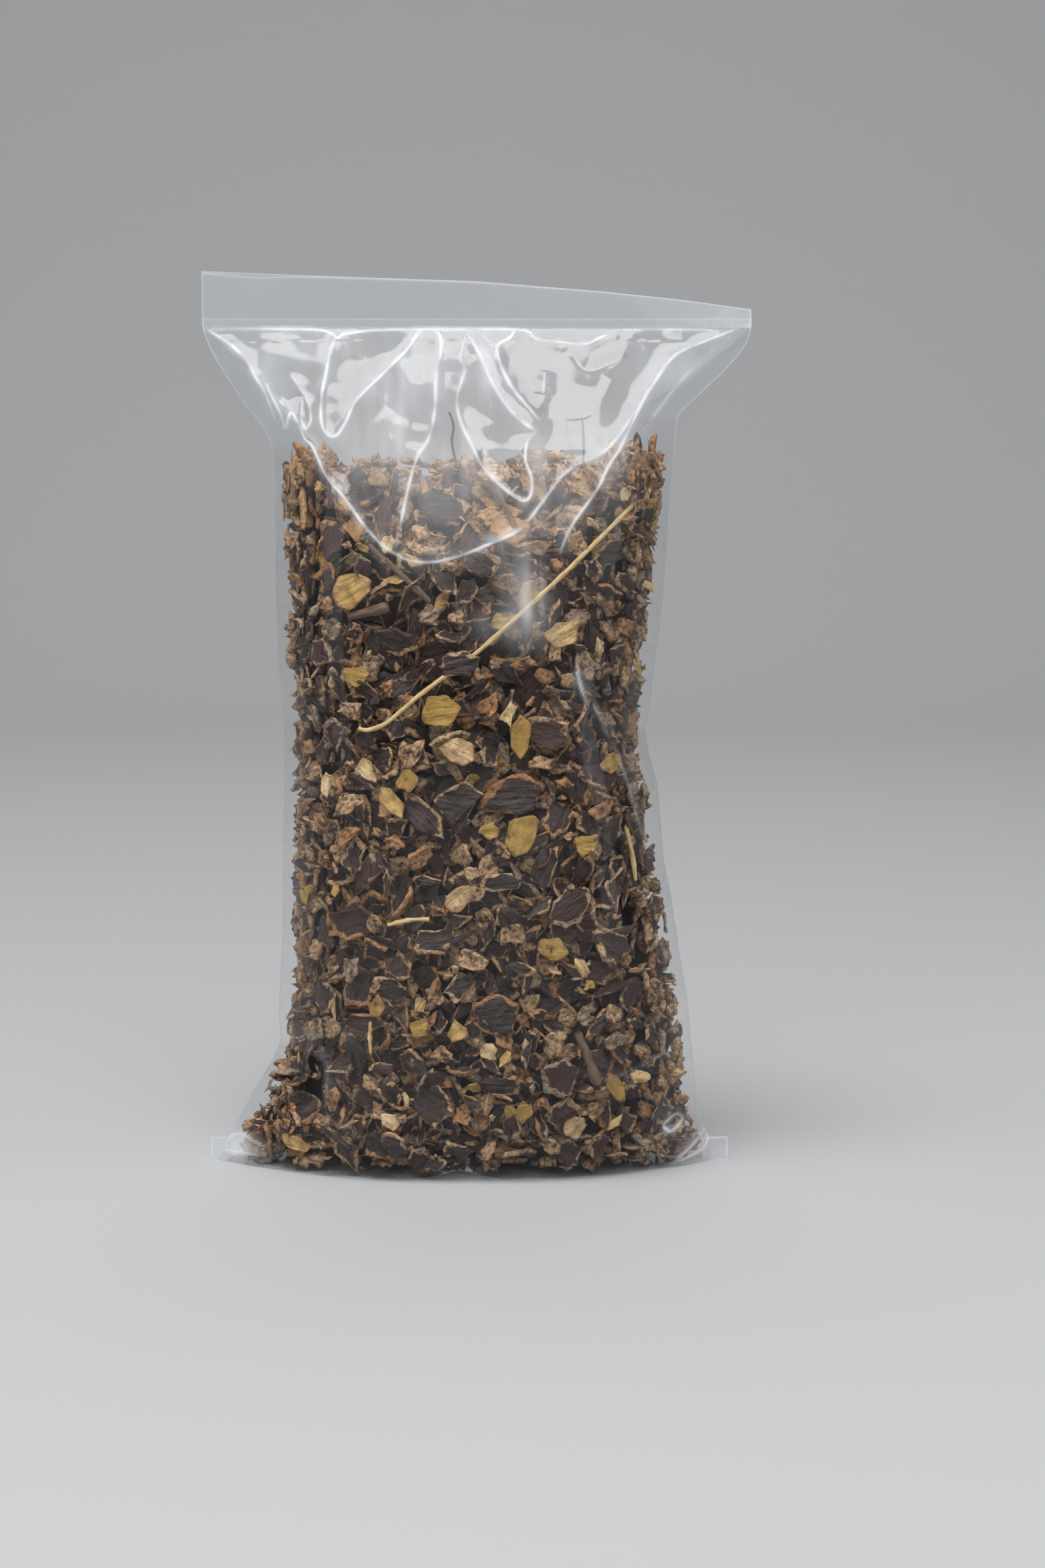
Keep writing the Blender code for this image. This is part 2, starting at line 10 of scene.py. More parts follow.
import bpy
import numpy as np
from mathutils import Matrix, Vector


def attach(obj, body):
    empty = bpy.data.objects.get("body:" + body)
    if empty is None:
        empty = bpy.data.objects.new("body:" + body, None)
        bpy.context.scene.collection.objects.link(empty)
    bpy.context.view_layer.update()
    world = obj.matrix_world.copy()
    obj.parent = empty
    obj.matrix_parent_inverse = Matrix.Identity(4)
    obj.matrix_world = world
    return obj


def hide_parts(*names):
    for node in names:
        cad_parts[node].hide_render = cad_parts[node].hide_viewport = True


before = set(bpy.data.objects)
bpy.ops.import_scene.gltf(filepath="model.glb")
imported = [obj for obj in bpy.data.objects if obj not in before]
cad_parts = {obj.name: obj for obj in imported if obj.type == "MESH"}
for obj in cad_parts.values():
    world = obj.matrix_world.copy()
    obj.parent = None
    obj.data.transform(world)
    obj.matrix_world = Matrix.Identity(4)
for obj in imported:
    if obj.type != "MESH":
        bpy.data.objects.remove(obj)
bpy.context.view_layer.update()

MM = 0.001
SEED = 20

# The bag's driving dimensions, the same as in the solids.
FLAT_WIDTH = 130.0
SEAL_BOTTOM = 200.9
SEAL_TOP = 203.2
LEAN_SLOPE = 0.47
LEFT_EDGE = [
    (0.0, -63.6), (5.1, -60.9), (10.8, -58.1), (16.4, -55.0), (22.8, -51.1), (28.9, -47.9),
    (37.0, -48.3), (53.2, -47.3), (77.4, -46.9), (95.1, -46.5), (108.6, -46.5), (120.0, -47.6),
    (138.0, -48.2), (167.8, -48.3), (173.5, -49.0), (177.5, -50.6), (182.0, -54.6),
    (189.6, -59.5), (195.3, -63.0), (SEAL_BOTTOM, -65.0),
]
RIGHT_EDGE = [
    (0.0, 57.3), (4.4, 56.7), (7.3, 55.3), (10.8, 53.2), (17.9, 52.9), (28.4, 51.8), (39.0, 50.8),
    (49.6, 49.0), (58.8, 47.6), (67.3, 46.2), (73.9, 44.8), (91.5, 43.4), (99.3, 41.3),
    (105.0, 40.2), (108.6, 41.0), (119.7, 42.3), (133.8, 44.1), (158.0, 45.8), (180.4, 47.6),
    (188.2, 56.0), (193.1, 60.9), (197.1, 64.0), (SEAL_BOTTOM, 65.0),
]
HALF_DEPTH = [
    (0.0, 21.0), (2.0, 23.8), (6.0, 25.8), (12.0, 27.2), (25.0, 28.0), (60.0, 28.4),
    (100.0, 27.6), (138.0, 26.0), (SEAL_BOTTOM, 25.0),
]
SQUARENESS = [
    (0.0, 2.3), (12.0, 3.2), (25.0, 4.0), (60.0, 4.4), (150.0, 4.2), (170.0, 3.6), (182.0, 2.3),
    (190.0, 1.9), (SEAL_BOTTOM, 1.6),
]
LEAN_BULGE = [
    (-65.0, 0.0), (-44.0, -0.4), (-37.0, 1.1), (-30.0, 1.9), (-22.0, 1.2), (-9.0, 0.7), (3.5, 1.9),
    (12.5, 3.2), (22.0, 2.9), (30.0, 3.2), (37.8, 1.2), (46.0, 0.0), (65.0, 0.0),
]
HEADER_EDGE = [
    (-65.0, 214.2), (-35.0, 213.0), (0.0, 211.8), (30.0, 209.4), (49.0, 207.4), (65.0, 205.2),
]
HEADER_RIGHT_LEAN = 3.0
# How far the ridge between the rounded body and the leaning planes is rounded off.
RIDGE_BLEND = 0.5
SKIRT_SPANS = {"skirt_left": (-64.9, -60.6), "skirt_right": (54.8, 60.7)}
SKIRT_HEIGHT = 5.6

# The camera: places in metres, and its lens in millimetres.
CAMERA_AIM = (0.0108, 0.0, 0.0922)
CAMERA_ELEVATION = math.radians(7.5)
CAMERA_DISTANCE = 0.90
CAMERA_LENS = 86.0


def srgb(code):
    """A colour written as six hex digits, as linear numbers."""
    channels = [int(code[i:i + 2], 16) / 255 for i in (0, 2, 4)]
    linear = [c / 12.92 if c <= 0.04045 else ((c + 0.055) / 1.055) ** 2.4 for c in channels]
    return (*linear, 1.0)


# The bag's form

STEP = 0.25
HEIGHTS = np.arange(-6.0, 208.0, STEP)
ACROSS = np.arange(-70.0, 70.0, STEP)


def smoothed(points, spread, places=HEIGHTS):
    """Given (place, value) points as a table over places, with the corners rounded."""
    table = np.interp(places, *zip(*points))
    reach = int(4 * spread / STEP)
    weights = np.exp(-0.5 * (np.arange(-reach, reach + 1) * STEP / spread) ** 2)
    padded = np.pad(table, reach, mode="edge")
    return np.convolve(padded, weights / weights.sum(), mode="valid")


LEFT = smoothed(LEFT_EDGE, 1.0)
RIGHT = smoothed(RIGHT_EDGE, 1.0)
DEPTH = smoothed(HALF_DEPTH, 1.5)
SQUARE = smoothed(SQUARENESS, 3.0)
BULGE = smoothed(LEAN_BULGE, 2.5, ACROSS)


def read(table, z):
    return np.interp(z, HEIGHTS, table)


def span_at(z):
    """Middle and half width of the bag at a height."""
    left, right = read(LEFT, z), read(RIGHT, z)
    return (left + right) / 2, (right - left) / 2


def soft_min(a, b, blend):
    """The smaller of two surfaces, with the ridge between them rounded."""
    low = np.minimum(a, b)
    return low - blend * np.log1p(np.exp(-np.abs(a - b) / blend))


def swell(x, z, backset=0.0, side_backset=0.0):
    """Half the depth of the bag: rounded over the fill, two leaning planes above it."""
    middle, half_width = span_at(z)
    reach = np.minimum(np.abs((x - middle) / (half_width - side_backset)), 1.25)
    rounded = (read(DEPTH, z) - backset) * (1 - reach ** read(SQUARE, z))
    bulge = np.interp(x, ACROSS, BULGE) * np.clip((SEAL_BOTTOM - z) / 28, 0, 1)
    leaning = LEAN_SLOPE * (SEAL_BOTTOM - z) + bulge - backset
    return soft_min(rounded, leaning, RIDGE_BLEND)


def slopes(x, z, step=0.3):
    """How fast the half depth changes across and up, by differences over a step."""
    across = (swell(x + step, z) - swell(x - step, z)) / (2 * step)
    up = (swell(x, z + step) - swell(x, z - step)) / (2 * step)
    return across, up


# Noise by sums of waves, the same on every run

def waves(p, q, scale, seed, octaves=3):
    """Smooth noise of about -1 to 1 over two coordinates in mm; scale is its wavelength."""
    rng = np.random.default_rng(seed)
    total = np.zeros(np.broadcast(p, q).shape)
    weight = 1.0
    for _ in range(octaves):
        for _ in range(5):
            angle, phase = rng.uniform(0, math.tau, 2)
            turn = math.tau / (scale * rng.uniform(0.75, 1.35))
            total += weight * np.sin(turn * (p * math.cos(angle) + q * math.sin(angle)) + phase)
        weight *= 0.5
        scale *= 0.5
    return total / 4.5


# Creases in the film

# Each crease of the front: height, half width, how white it is (painted highlight, partly the creased
# film's own whitening), and its points as (x, height), in mm.
FRONT_CREASES = [
    (0.9, 0.9, 0.75, [
        (-41.3, 178.6), (-40.3, 175.4), (-38.2, 173.3), (-35, 166.9), (-30.8, 162.1), (-26.6, 156.5),
        (-22.4, 151.8), (-18.9, 149.3), (-14.7, 147.5), (-9.1, 147.4), (-3.5, 148.8), (3.5, 151.6),
        (9.1, 154.0), (12.5, 156.2)]),
    (0.8, 0.8, 0.8, [
        (-12, 201.0), (-9.2, 200), (-8.4, 196.3), (-9.5, 189.3), (-9.8, 181.6), (-11.2, 175.3),
        (-14, 170.5), (-16.1, 162.8), (-18.4, 151)]),
    (1.1, 0.9, 0.9, [
        (-33.3, 199.3), (-34.7, 194.6), (-35.4, 190.6), (-36.4, 184.9), (-36.4, 180), (-35.4, 176.8),
        (-33, 175.9), (-30.8, 178.7), (-28, 184.3), (-22.4, 189.9), (-16.8, 195.5), (-14, 199.4),
        (-12, 201)]),
    (1.0, 0.9, 0.8, [
        (-2.5, 199.5), (-3.9, 194), (-2.8, 191.3), (-4.6, 184.3), (-3.5, 178.7), (-0.7, 173.1),
        (1.4, 169.1), (5.6, 164.8), (10.5, 161.4), (12.6, 162.5), (12.9, 166.3), (11.5, 170.5),
        (11.9, 174.6), (14, 177.3)]),
    (0.9, 0.8, 0.8, [
        (-2.5, 200.1), (0.7, 194.7), (3.5, 188.5), (7, 183), (10.5, 179.4), (14, 177.3)]),
    (0.9, 0.8, 0.85, [
        (9.1, 201), (8, 198.8), (4.9, 196.6), (5.6, 192.5), (8.4, 187), (11.9, 182.9), (15, 179.4)]),
    (0.6, 0.7, 0.6, [
        (0, 200.6), (2.4, 198.2), (4.9, 196.6)]),
    (0.9, 0.9, 0.75, [
        (61.5, 200.7), (51.8, 196.9), (46.2, 193.9), (40.6, 186.4), (37.8, 181.5), (33.6, 173.2),
        (30.8, 169.1), (28, 163.6), (22.4, 155.9), (19.5, 149.5)]),
    (0.6, 0.8, 0.6, [
        (37.8, 182.2), (30.8, 173.2), (21, 167.7), (16.5, 162.4), (11.9, 156.5)]),
    (0.8, 0.7, 0.7, [
        (-64.2, 200.9), (-56, 195.1), (-51.8, 189), (-49, 184), (-47.2, 178.4)]),
    (0.6, 0.7, 0.7, [
        (-49.7, 188.0), (-46.2, 181.0), (-45.0, 177.6), (-43.6, 181.2), (-41.6, 178.6)]),
    (0.7, 0.7, 0.8, [
        (-44.0, 190.2), (-41.6, 187.0), (-39.6, 183.4), (-38.8, 179.6), (-40.2, 177.6),
        (-41.2, 181.0), (-40.8, 185.0)]),
    (0.5, 0.6, 0.8, [
        (-64, 200.5), (-50, 200.7), (-38, 200.5), (-34.5, 199.6), (-32.8, 198.6), (-30.5, 199.6),
        (-20, 200.5), (9, 200.5), (14, 198.4), (20, 197.6), (25.9, 197.3), (31, 199.4), (37, 200.5),
        (61, 200.4)]),
    (0.5, 0.7, 0.35, [
        (16.1, 191), (15.7, 185.6)]),
    (0.5, 0.8, 0.25, [
        (22, 196), (26, 191), (34, 193.4), (30, 190.5)]),
    (0.2, 0.7, 0.3, [
        (24.5, 121.6), (26, 118), (30.8, 106.2), (35, 96.3), (37.8, 86.4), (41.3, 76.5)]),
    (0.2, 0.7, 0.7, [
        (23.4, 122.4), (24.6, 117.6), (26.2, 113.4)]),
    (0.5, 0.8, 0.12, [
        (-40, 35.3), (-36, 27.2), (-35.7, 18.4)]),
    (0.5, 0.8, 0.1, [
        (-38.5, 17), (-28, 10.6)]),
    (0.5, 0.8, 0.12, [
        (-35.7, 39.5), (-25.2, 30.8)]),
    (0.5, 0.7, 0.12, [
        (28, 24), (37.8, 26.8), (46.2, 29.7)]),
    (0.8, 0.7, 0.95, [
        (46.6, 0.8), (52.5, 5.2), (55.6, 8.0), (54.8, 3.4), (46.6, 0.8)]),
    (0.6, 0.6, 0.9, [
        (44.4, 11.0), (47.6, 13.0), (49.4, 11.4), (46.6, 9.2), (44.4, 11.0)]),
    (0.5, 0.7, 0.3, [
        (38, 8.6), (43, 7.6), (49, 11.0), (52.6, 12.4)]),
    (0.8, 0.9, 0.6, [
        (-62.2, 3.6), (-58, 7.0), (-51.6, 5.4)]),
    (0.5, 0.7, 0.5, [
        (-61.8, 2.6), (-53, 3.0)]),
]
BACK_CREASES = [
    (0.9, 1.0, 0.5, [
        (-60, 199), (-50, 187), (-38, 172), (-26, 158), (-12, 150), (2, 147), (16, 151), (27, 160),
        (38, 174), (50, 190), (62, 200)]),
    (0.9, 1.0, 0.5, [
        (-30, 200), (-25, 186), (-21, 172), (-10, 156)]),
    (0.9, 1.0, 0.5, [
        (-4, 200), (3, 186), (2, 172), (6, 160)]),
    (0.9, 1.0, 0.5, [
        (22, 200), (17, 188), (22, 176), (30, 166)]),
    (0.6, 1.0, 0.2, [
        (-30, 132), (-14, 118), (-6, 96)]),
    (0.6, 1.0, 0.2, [
        (38, 76), (24, 60), (18, 44)]),
]
# Broad swellings of the front: x, height, how far it stands out, and its radius.
FRONT_SWELLINGS = [
    (13.0, 137.0, 1.8, 6.5), (-14.5, 188.0, 0.9, 4.5), (-24.0, 196.0, -0.9, 6.5),
    (-8.0, 160.0, 0.4, 9.0), (-47.0, 195.0, 0.9, 5.0), (31.0, 114.0, -0.3, 9.0),
    (12.0, 168.0, 0.9, 5.0), (-26.0, 178.0, 0.7, 7.0), (-40.0, 30.0, -0.7, 8.0),
]
# Patches of the front, painted reflections and glints with some of the film's own haze: x, height, half
# width, half height, and how strong.
HAZE_AND_REFLECTION_PATCHES = [
    (0.0, 189.0, 46.0, 12.0, 0.06), (-6.0, 171.0, 30.0, 6.0, 0.14), (-24.0, 170.0, 8.0, 8.0, 0.10),
    (-6.0, 163.0, 9.0, 9.0, 0.19), (0.0, 152.0, 42.0, 16.0, 0.035), (33.0, 164.0, 6.0, 9.0, 0.10),
    (-17.0, 187.0, 5.5, 7.0, 0.34), (-19.0, 178.0, 3.5, 5.0, 0.26), (12.3, 136.0, 4.6, 6.6, 0.50),
    (6.0, 133.0, 7.0, 3.6, 0.20), (10.0, 147.0, 4.6, 8.0, 0.32), (-49.0, 190.0, 4.0, 6.0, 0.30),
    (-38.0, 196.0, 12.0, 3.5, 0.22), (15.0, 172.0, 3.0, 5.0, 0.34), (-10.0, 193.0, 9.0, 6.0, 0.16),
    (31.0, 174.0, 6.0, 6.0, 0.18), (46.0, 191.0, 8.0, 4.0, 0.20), (-28.0, 176.0, 8.0, 8.0, 0.10),
    (2.0, 192.0, 2.5, 7.0, 0.30), (-5.0, 168.0, 14.0, 6.0, 0.07), (20.0, 160.0, 8.0, 8.0, 0.12),
    (-57.0, 4.5, 4.0, 2.2, 0.60), (52.0, 4.5, 3.0, 3.0, 0.25), (27.0, 102.0, 3.0, 7.0, 0.05),
]
# Half the width of the painted highlight along a sharp crease, and how far a crease is felt around it.
HIGHLIGHT_LINE_WIDTH = 0.32
CREASE_MARGIN = 7.0


def rounded_path(points, per_piece=8):
    """Points along a smooth curve through given points."""
    run = np.array([points[0], *points, points[-1]], float)
    t = np.linspace(0, 1, per_piece, endpoint=False)[:, None]
    pieces = []
    for a, b, c, d in zip(run, run[1:], run[2:], run[3:]):
        pieces.append(0.5 * (2 * b + (c - a) * t + (2 * a - 5 * b + 4 * c - d) * t ** 2
                             + (3 * b - a - 3 * c + d) * t ** 3))
    return np.vstack([*pieces, run[-1:]])


def distance_to(path, x, z):
    """Distance of each point of a grid from a path, and how far along the path it is (0 to 1)."""
    nearest = np.full(x.shape, 1e9)
    share = np.zeros(x.shape)
    for k, (a, b) in enumerate(zip(path, path[1:])):
        run = b - a
        t = ((x - a[0]) * run[0] + (z - a[1]) * run[1]) / max(run @ run, 1e-9)
        t = np.clip(t, 0, 1)
        far = np.hypot(x - a[0] - t * run[0], z - a[1] - t * run[1])
        share = np.where(far < nearest, (k + t) / (len(path) - 1), share)
        nearest = np.minimum(nearest, far)
    return nearest, share


def crease_relief(x, z, creases):
    """How far creases lift the film, and how white they make it with painted highlights and a little
    whitening of its own, over a grid of points.
    """
    lift = np.zeros(x.shape)
    haze_and_highlight = np.zeros(x.shape)
    for number, (height, half_width, milk_and_highlight, points) in enumerate(creases):
        path = rounded_path(points)
        low, high = path.min(0) - CREASE_MARGIN, path.max(0) + CREASE_MARGIN
        near = (x > low[0]) & (x < high[0]) & (z > low[1]) & (z < high[1])
        if not near.any():
            continue
        far, share = distance_to(path, x[near], z[near])
        fade = np.clip(np.minimum(share, 1 - share) * 8 + 0.25, 0, 1)
        lift[near] += height * fade * (0.32 * np.exp(-far / (0.9 * half_width))
                                       + 0.45 * np.exp(-(far / (3.4 * half_width)) ** 2))
        uneven = waves(x[near], z[near], 10.0, 400 + number, 2)
        # Painted highlight: a thin white streak along each crease with a painted glow beside it, partly
        # the creased film's own whitening.
        highlight_line = np.exp(-(far / HIGHLIGHT_LINE_WIDTH) ** 2) * np.clip(0.74 + 0.55 * uneven, 0.15, 1.1)
        glow = np.exp(-far / 1.5) * np.clip(0.20 + 0.25 * uneven, 0.05, 0.5)
        haze_and_highlight[near] = np.maximum(haze_and_highlight[near], milk_and_highlight * fade * (highlight_line + glow))
    return lift, haze_and_highlight


def swelling(x, z, side):
    """How far the front film stands out or in where it is broadly bulged or dented."""
    out = np.zeros(np.shape(x))
    if side > 0:
        return out
    for middle_x, middle_z, height, radius in FRONT_SWELLINGS:
        out += height * np.exp(-((x - middle_x) ** 2 + (z - middle_z) ** 2) / radius ** 2)
    return out


def haze_and_reflection_patches(x, z):
    """Streaks and clouds over the front film: painted reflections and glints, partly the film's own
    haze.
    """
    haze_and_highlight = np.zeros(x.shape)
    for middle_x, middle_z, wide, high, amount in HAZE_AND_REFLECTION_PATCHES:
        haze_and_highlight += amount * np.exp(-((x - middle_x) / wide) ** 2 - ((z - middle_z) / high) ** 2)
    streaks = 0.75 + 0.35 * waves(x * 2.6, z * 0.45, 14.0, 61)
    return haze_and_highlight * np.clip(streaks, 0.2, 1.4)


# Meshes from arrays

def add_object(name, data):
    obj = bpy.data.objects.new(name, data)
    bpy.context.scene.collection.objects.link(obj)
    return obj


def link_mesh(name, points, faces, attributes=()):
    """A mesh object from points in mm and an array of faces that all have the same corners."""
    points = np.asarray(points, np.float32) * MM
    faces = np.asarray(faces, np.int32)
    corners = faces.shape[1]
    mesh = bpy.data.meshes.new(name)
    mesh.vertices.add(len(points))
    mesh.vertices.foreach_set("co", points.ravel())
    mesh.loops.add(faces.size)
    mesh.loops.foreach_set("vertex_index", faces.ravel())
    mesh.polygons.add(len(faces))
    mesh.polygons.foreach_set("loop_start", np.arange(0, faces.size, corners, dtype=np.int32))
    mesh.polygons.foreach_set("loop_total", np.full(len(faces), corners, np.int32))
    mesh.polygons.foreach_set("use_smooth", np.full(len(faces), True))
    for label, values in attributes:
        kind = "FLOAT_COLOR" if values.ndim == 2 else "FLOAT"
        layer = mesh.attributes.new(label, kind, "POINT")
        layer.data.foreach_set("color" if values.ndim == 2 else "value",
                               np.asarray(values, np.float32).ravel())
    mesh.update(calc_edges=True)
    mesh.validate()
    return add_object(name, mesh)


def grid_faces(rows, columns, flip=False):
    """Quads of a grid of points stored row by row."""
    low = (np.arange(rows - 1)[:, None] * columns + np.arange(columns - 1)).ravel()
    quads = np.stack([low, low + 1, low + columns + 1, low + columns], 1)
    return quads[:, ::-1] if flip else quads


def band_faces(rings, count):
    """Quads between closed rings of points stored ring by ring."""
    low = (np.arange(rings - 1)[:, None] * count + np.arange(count)).ravel()
    here = low % count
    nexts = low - here + (here + 1) % count
    return np.stack([low, nexts, nexts + count, low + count], 1)


def tube_faces(rings, count):
    """Quads between closed rings, and across the first ring and the last."""
    k = np.arange(count // 2 - 1)
    end = np.stack([k, k + 1, count - 2 - k, count - 1 - k], 1)
    return np.vstack([band_faces(rings, count), end, end + (rings - 1) * count])


def finish_piece(obj, material, slot, *nodes):
    obj.data.materials.clear()
    obj.data.materials.append(material)
    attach(obj, "root")
    if nodes:
        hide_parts(*nodes)
    return obj


# Materials

class Nodes:
    """Short calls for a material's node tree."""

    def __init__(self, name):
        self.material = bpy.data.materials.new(name)
        self.material.use_nodes = True
        self.tree = self.material.node_tree
        self.tree.nodes.clear()

    def add(self, kind, inputs=None, **settings):
        """A node with its settings, and with its inputs linked or set, by name or number."""
        node = self.tree.nodes.new("ShaderNode" + kind)
        for key, value in settings.items():
            setattr(node, key, value)
        for name, value in (inputs or {}).items():
            if isinstance(value, bpy.types.NodeSocket):
                self.tree.links.new(value, node.inputs[name])
            else:
                node.inputs[name].default_value = value
        return node

    def math(self, operation, *values, clamp=False):
        node = self.add("Math", dict(enumerate(values)), operation=operation, use_clamp=clamp)
        return node.outputs[0]

    def mix(self, share, first, second):
        node = self.add("Mix", {"Factor": share, "A": first, "B": second}, data_type="RGBA",
                        clamp_factor=True)
        return node.outputs["Result"]

    def stain(self, colour, *stains):
        """A colour with others laid over it in turn, each by its share."""
        for share, code in stains:
            colour = self.mix(share, colour, srgb(code))
        return colour

    def ramp(self, value, low, high, most=1.0):
        """A value stretched so that low gives 0 and high gives the most."""
        inputs = {"Value": value, "From Min": low, "From Max": high, "To Max": most}
        node = self.add("MapRange", inputs, clamp=True, interpolation_type="SMOOTHSTEP")
        return node.outputs["Result"]

    def noise(self, vector, scale, detail=3.0, roughness=0.55):
        node = self.add("TexNoise", {"Vector": vector, "Scale": scale, "Detail": detail,
                                     "Roughness": roughness})
        return node.outputs["Fac"]

    def stretch(self, vector, scale):
        return self.add("Mapping", {"Vector": vector, "Scale": scale}).outputs["Vector"]

    def bump(self, height, strength, distance):
        node = self.add("Bump", {"Height": height, "Strength": strength, "Distance": distance})
        return node.outputs["Normal"]

    def attribute(self, name, output="Vector"):
        return self.add("Attribute", attribute_name=name).outputs[output]

    def shader(self, kind, **inputs):
        """A shader's output; an input's name is written with _ for a space."""
        named = {name.replace("_", " "): value for name, value in inputs.items()}
        return self.add("Bsdf" + kind, named).outputs[0]

    def mix_shaders(self, share, first, second):
        return self.add("MixShader", {0: share, 1: first, 2: second}).outputs[0]

    def finished(self, surface):
        """The material, with a shader as its surface."""
        self.add("OutputMaterial", {"Surface": surface})
        return self.material


FILM_TINT = (0.985, 0.987, 0.99, 1)
FILM_MILK_AND_HIGHLIGHT = (0.92, 0.93, 0.95, 1)
# The film's share of gloss seen square on, and what is added to it at a slant.
FILM_GLOSS, SLANT_GLOSS = 0.025, 0.75


def film_material():
    """Clear film: see-through, glossy, more so at a slant, and milky white along its creases and in
    patches: painted highlights and reflections, partly its own haze.
    """
    n = Nodes("clear_film")
    place = n.add("TexCoord").outputs["Object"]
    crinkle = n.noise(n.stretch(place, (1.0, 1.0, 0.6)), 260.0)
    normal = n.bump(crinkle, 0.07, 0.0004)
    facing = n.add("LayerWeight", {"Blend": 0.5}).outputs["Facing"]
    slant = n.math("POWER", facing, 4.0)
    gloss_share = n.math("MULTIPLY_ADD", slant, SLANT_GLOSS, FILM_GLOSS, clamp=True)
    clear = n.shader("Transparent", Color=FILM_TINT)
    gloss = n.shader("Glossy", Color=(1, 1, 1, 1), Roughness=0.08, Normal=normal)
    milk_and_highlight = n.shader("Diffuse", Color=FILM_MILK_AND_HIGHLIGHT)
    lit_milk_and_highlight = n.shader("Translucent", Color=FILM_MILK_AND_HIGHLIGHT)
    smear = n.ramp(n.noise(place, 60.0, 4.0), 0.35, 0.75)
    # Painted highlights and reflections, partly the film's own haze, come from a point attribute and
    # turn the film white.
    haze_and_highlight = n.math("MULTIPLY", n.attribute("haze_and_highlight", "Fac"), 0.9)
    share = n.math("ADD", haze_and_highlight, n.math("MULTIPLY_ADD", smear, 0.005, 0.001), clamp=True)
    return n.finished(n.mix_shaders(share, n.mix_shaders(gloss_share, clear, gloss),
                                    n.mix_shaders(0.3, milk_and_highlight, lit_milk_and_highlight)))


def pod_material():
    """Dry pod: dark ridged skin, torn tan rims and pith, and pale flakes, told apart per point."""
    n = Nodes("dry_pod")
    # One attribute holds how much skin a point has, its piece's tone, and how pale the piece is.
    parts = n.add("SeparateColor", {0: n.attribute("piece", "Color")})
    skin, tone, paleness = parts.outputs
    grain = n.attribute("grain")
    fine = n.noise(n.stretch(grain, (0.22, 1.0, 1.0)), 1.9, 4.0, 0.6)
    ridge = n.noise(n.stretch(grain, (0.16, 1.0, 1.0)), 0.66, 2.0)
    coarse = n.noise(grain, 0.35)
    speck = n.noise(grain, 1.0, 4.0, 0.6)
    second_tone = n.math("FRACT", n.math("MULTIPLY", tone, 7.0))

    # Painted sheen and shade, partly the skin's own streaks: lighter on the crests of its ridges and
    # fine wrinkles, where the bump raises it, and darker in the grooves.
    dark = n.stain(srgb("150f0d"), (n.ramp(fine, 0.36, 0.66), "4b3a31"),
                   (n.ramp(ridge, 0.52, 0.64, 0.55), "5f4c42"), (n.ramp(coarse, 0.5, 0.72), "513a2e"),
                   (n.math("MULTIPLY", tone, 0.45), "2b2223"),
                   (n.ramp(second_tone, 0.70, 0.78, 0.5), "43241b"))
    # Painted shade: the pith is darker in the pits that the same speck noise sinks into its bump and
    # lighter on the crumbs between, partly its own speckled tone.
    crumb = n.ramp(speck, 0.32, 0.58)
    tan = n.mix(crumb, srgb("5e4635"), srgb("c8a47c"))
    orange = n.mix(crumb, srgb("61402b"), srgb("b5865b"))
    grey = n.mix(crumb, srgb("54463b"), srgb("aa9178"))
    pith = n.mix(n.ramp(tone, 0.60, 0.68), tan, orange)
    pith = n.mix(n.ramp(second_tone, 0.80, 0.86), pith, grey)
    pith = n.stain(pith, (n.ramp(coarse, 0.52, 0.68), "3f2d23"),
                   (n.math("MULTIPLY", paleness, 1.2, clamp=True), "b58c5c"))
    pale = n.stain(srgb("b5944e"), (n.ramp(tone, 0.25, 0.45), "cfaa6c"),
                   (n.ramp(tone, 0.65, 0.85), "e2c698"), (n.ramp(coarse, 0.42, 0.66, 0.6), "94703a"),
                   (n.math("MULTIPLY", skin, n.ramp(coarse, 0.3, 0.5)), "8a5f34"),
                   (n.ramp(speck, 0.54, 0.70, 0.6), "6e4f2e"))

    patches = n.math("MULTIPLY_ADD", coarse, 1.8, -0.93)
    edge = n.math("ADD", n.math("ADD", skin, patches), n.math("MULTIPLY_ADD", speck, 0.5, -0.25))
    is_skin = n.ramp(edge, 0.42, 0.56)
    colour = n.mix(n.ramp(paleness, 0.45, 0.55), n.mix(is_skin, pith, dark), pale)
    crumbly = n.math("MULTIPLY", speck, n.math("MULTIPLY_ADD", is_skin, -0.3, 0.6))
    height = n.math("MULTIPLY_ADD", fine, 0.7, crumbly)
    height = n.math("MULTIPLY_ADD", ridge, 1.6, height)
    return n.finished(n.shader("Principled", Base_Color=colour, Specular_IOR_Level=0.4,
                               Roughness=n.math("MULTIPLY_ADD", is_skin, -0.42, 0.88),
                               Normal=n.bump(height, 0.9, 0.0009)))


def shade_core_material():
    """Painted shade: the near black seen in the gaps between the pieces."""
    n = Nodes("heap_shade_core")
    return n.finished(n.shader("Principled", Base_Color=srgb("1c1512"), Roughness=0.95,
                               Specular_IOR_Level=0.1))


def stalk_material(name, light, dark, roughness):
    """Dry stem with lengthwise fibres."""
    n = Nodes(name)
    grain = n.attribute("grain")
    fibre = n.noise(n.stretch(grain, (0.12, 1.0, 1.0)), 3.0)
    spots = n.noise(grain, 0.5, 4.0, 0.7)
    colour = n.stain(srgb(dark), (n.ramp(fibre, 0.3, 0.7), light),
                     (n.ramp(spots, 0.6, 0.75, 0.5), dark))
    return n.finished(n.shader("Principled", Base_Color=colour, Roughness=roughness,
                               Normal=n.bump(fibre, 0.5, 0.0003)))


# The film

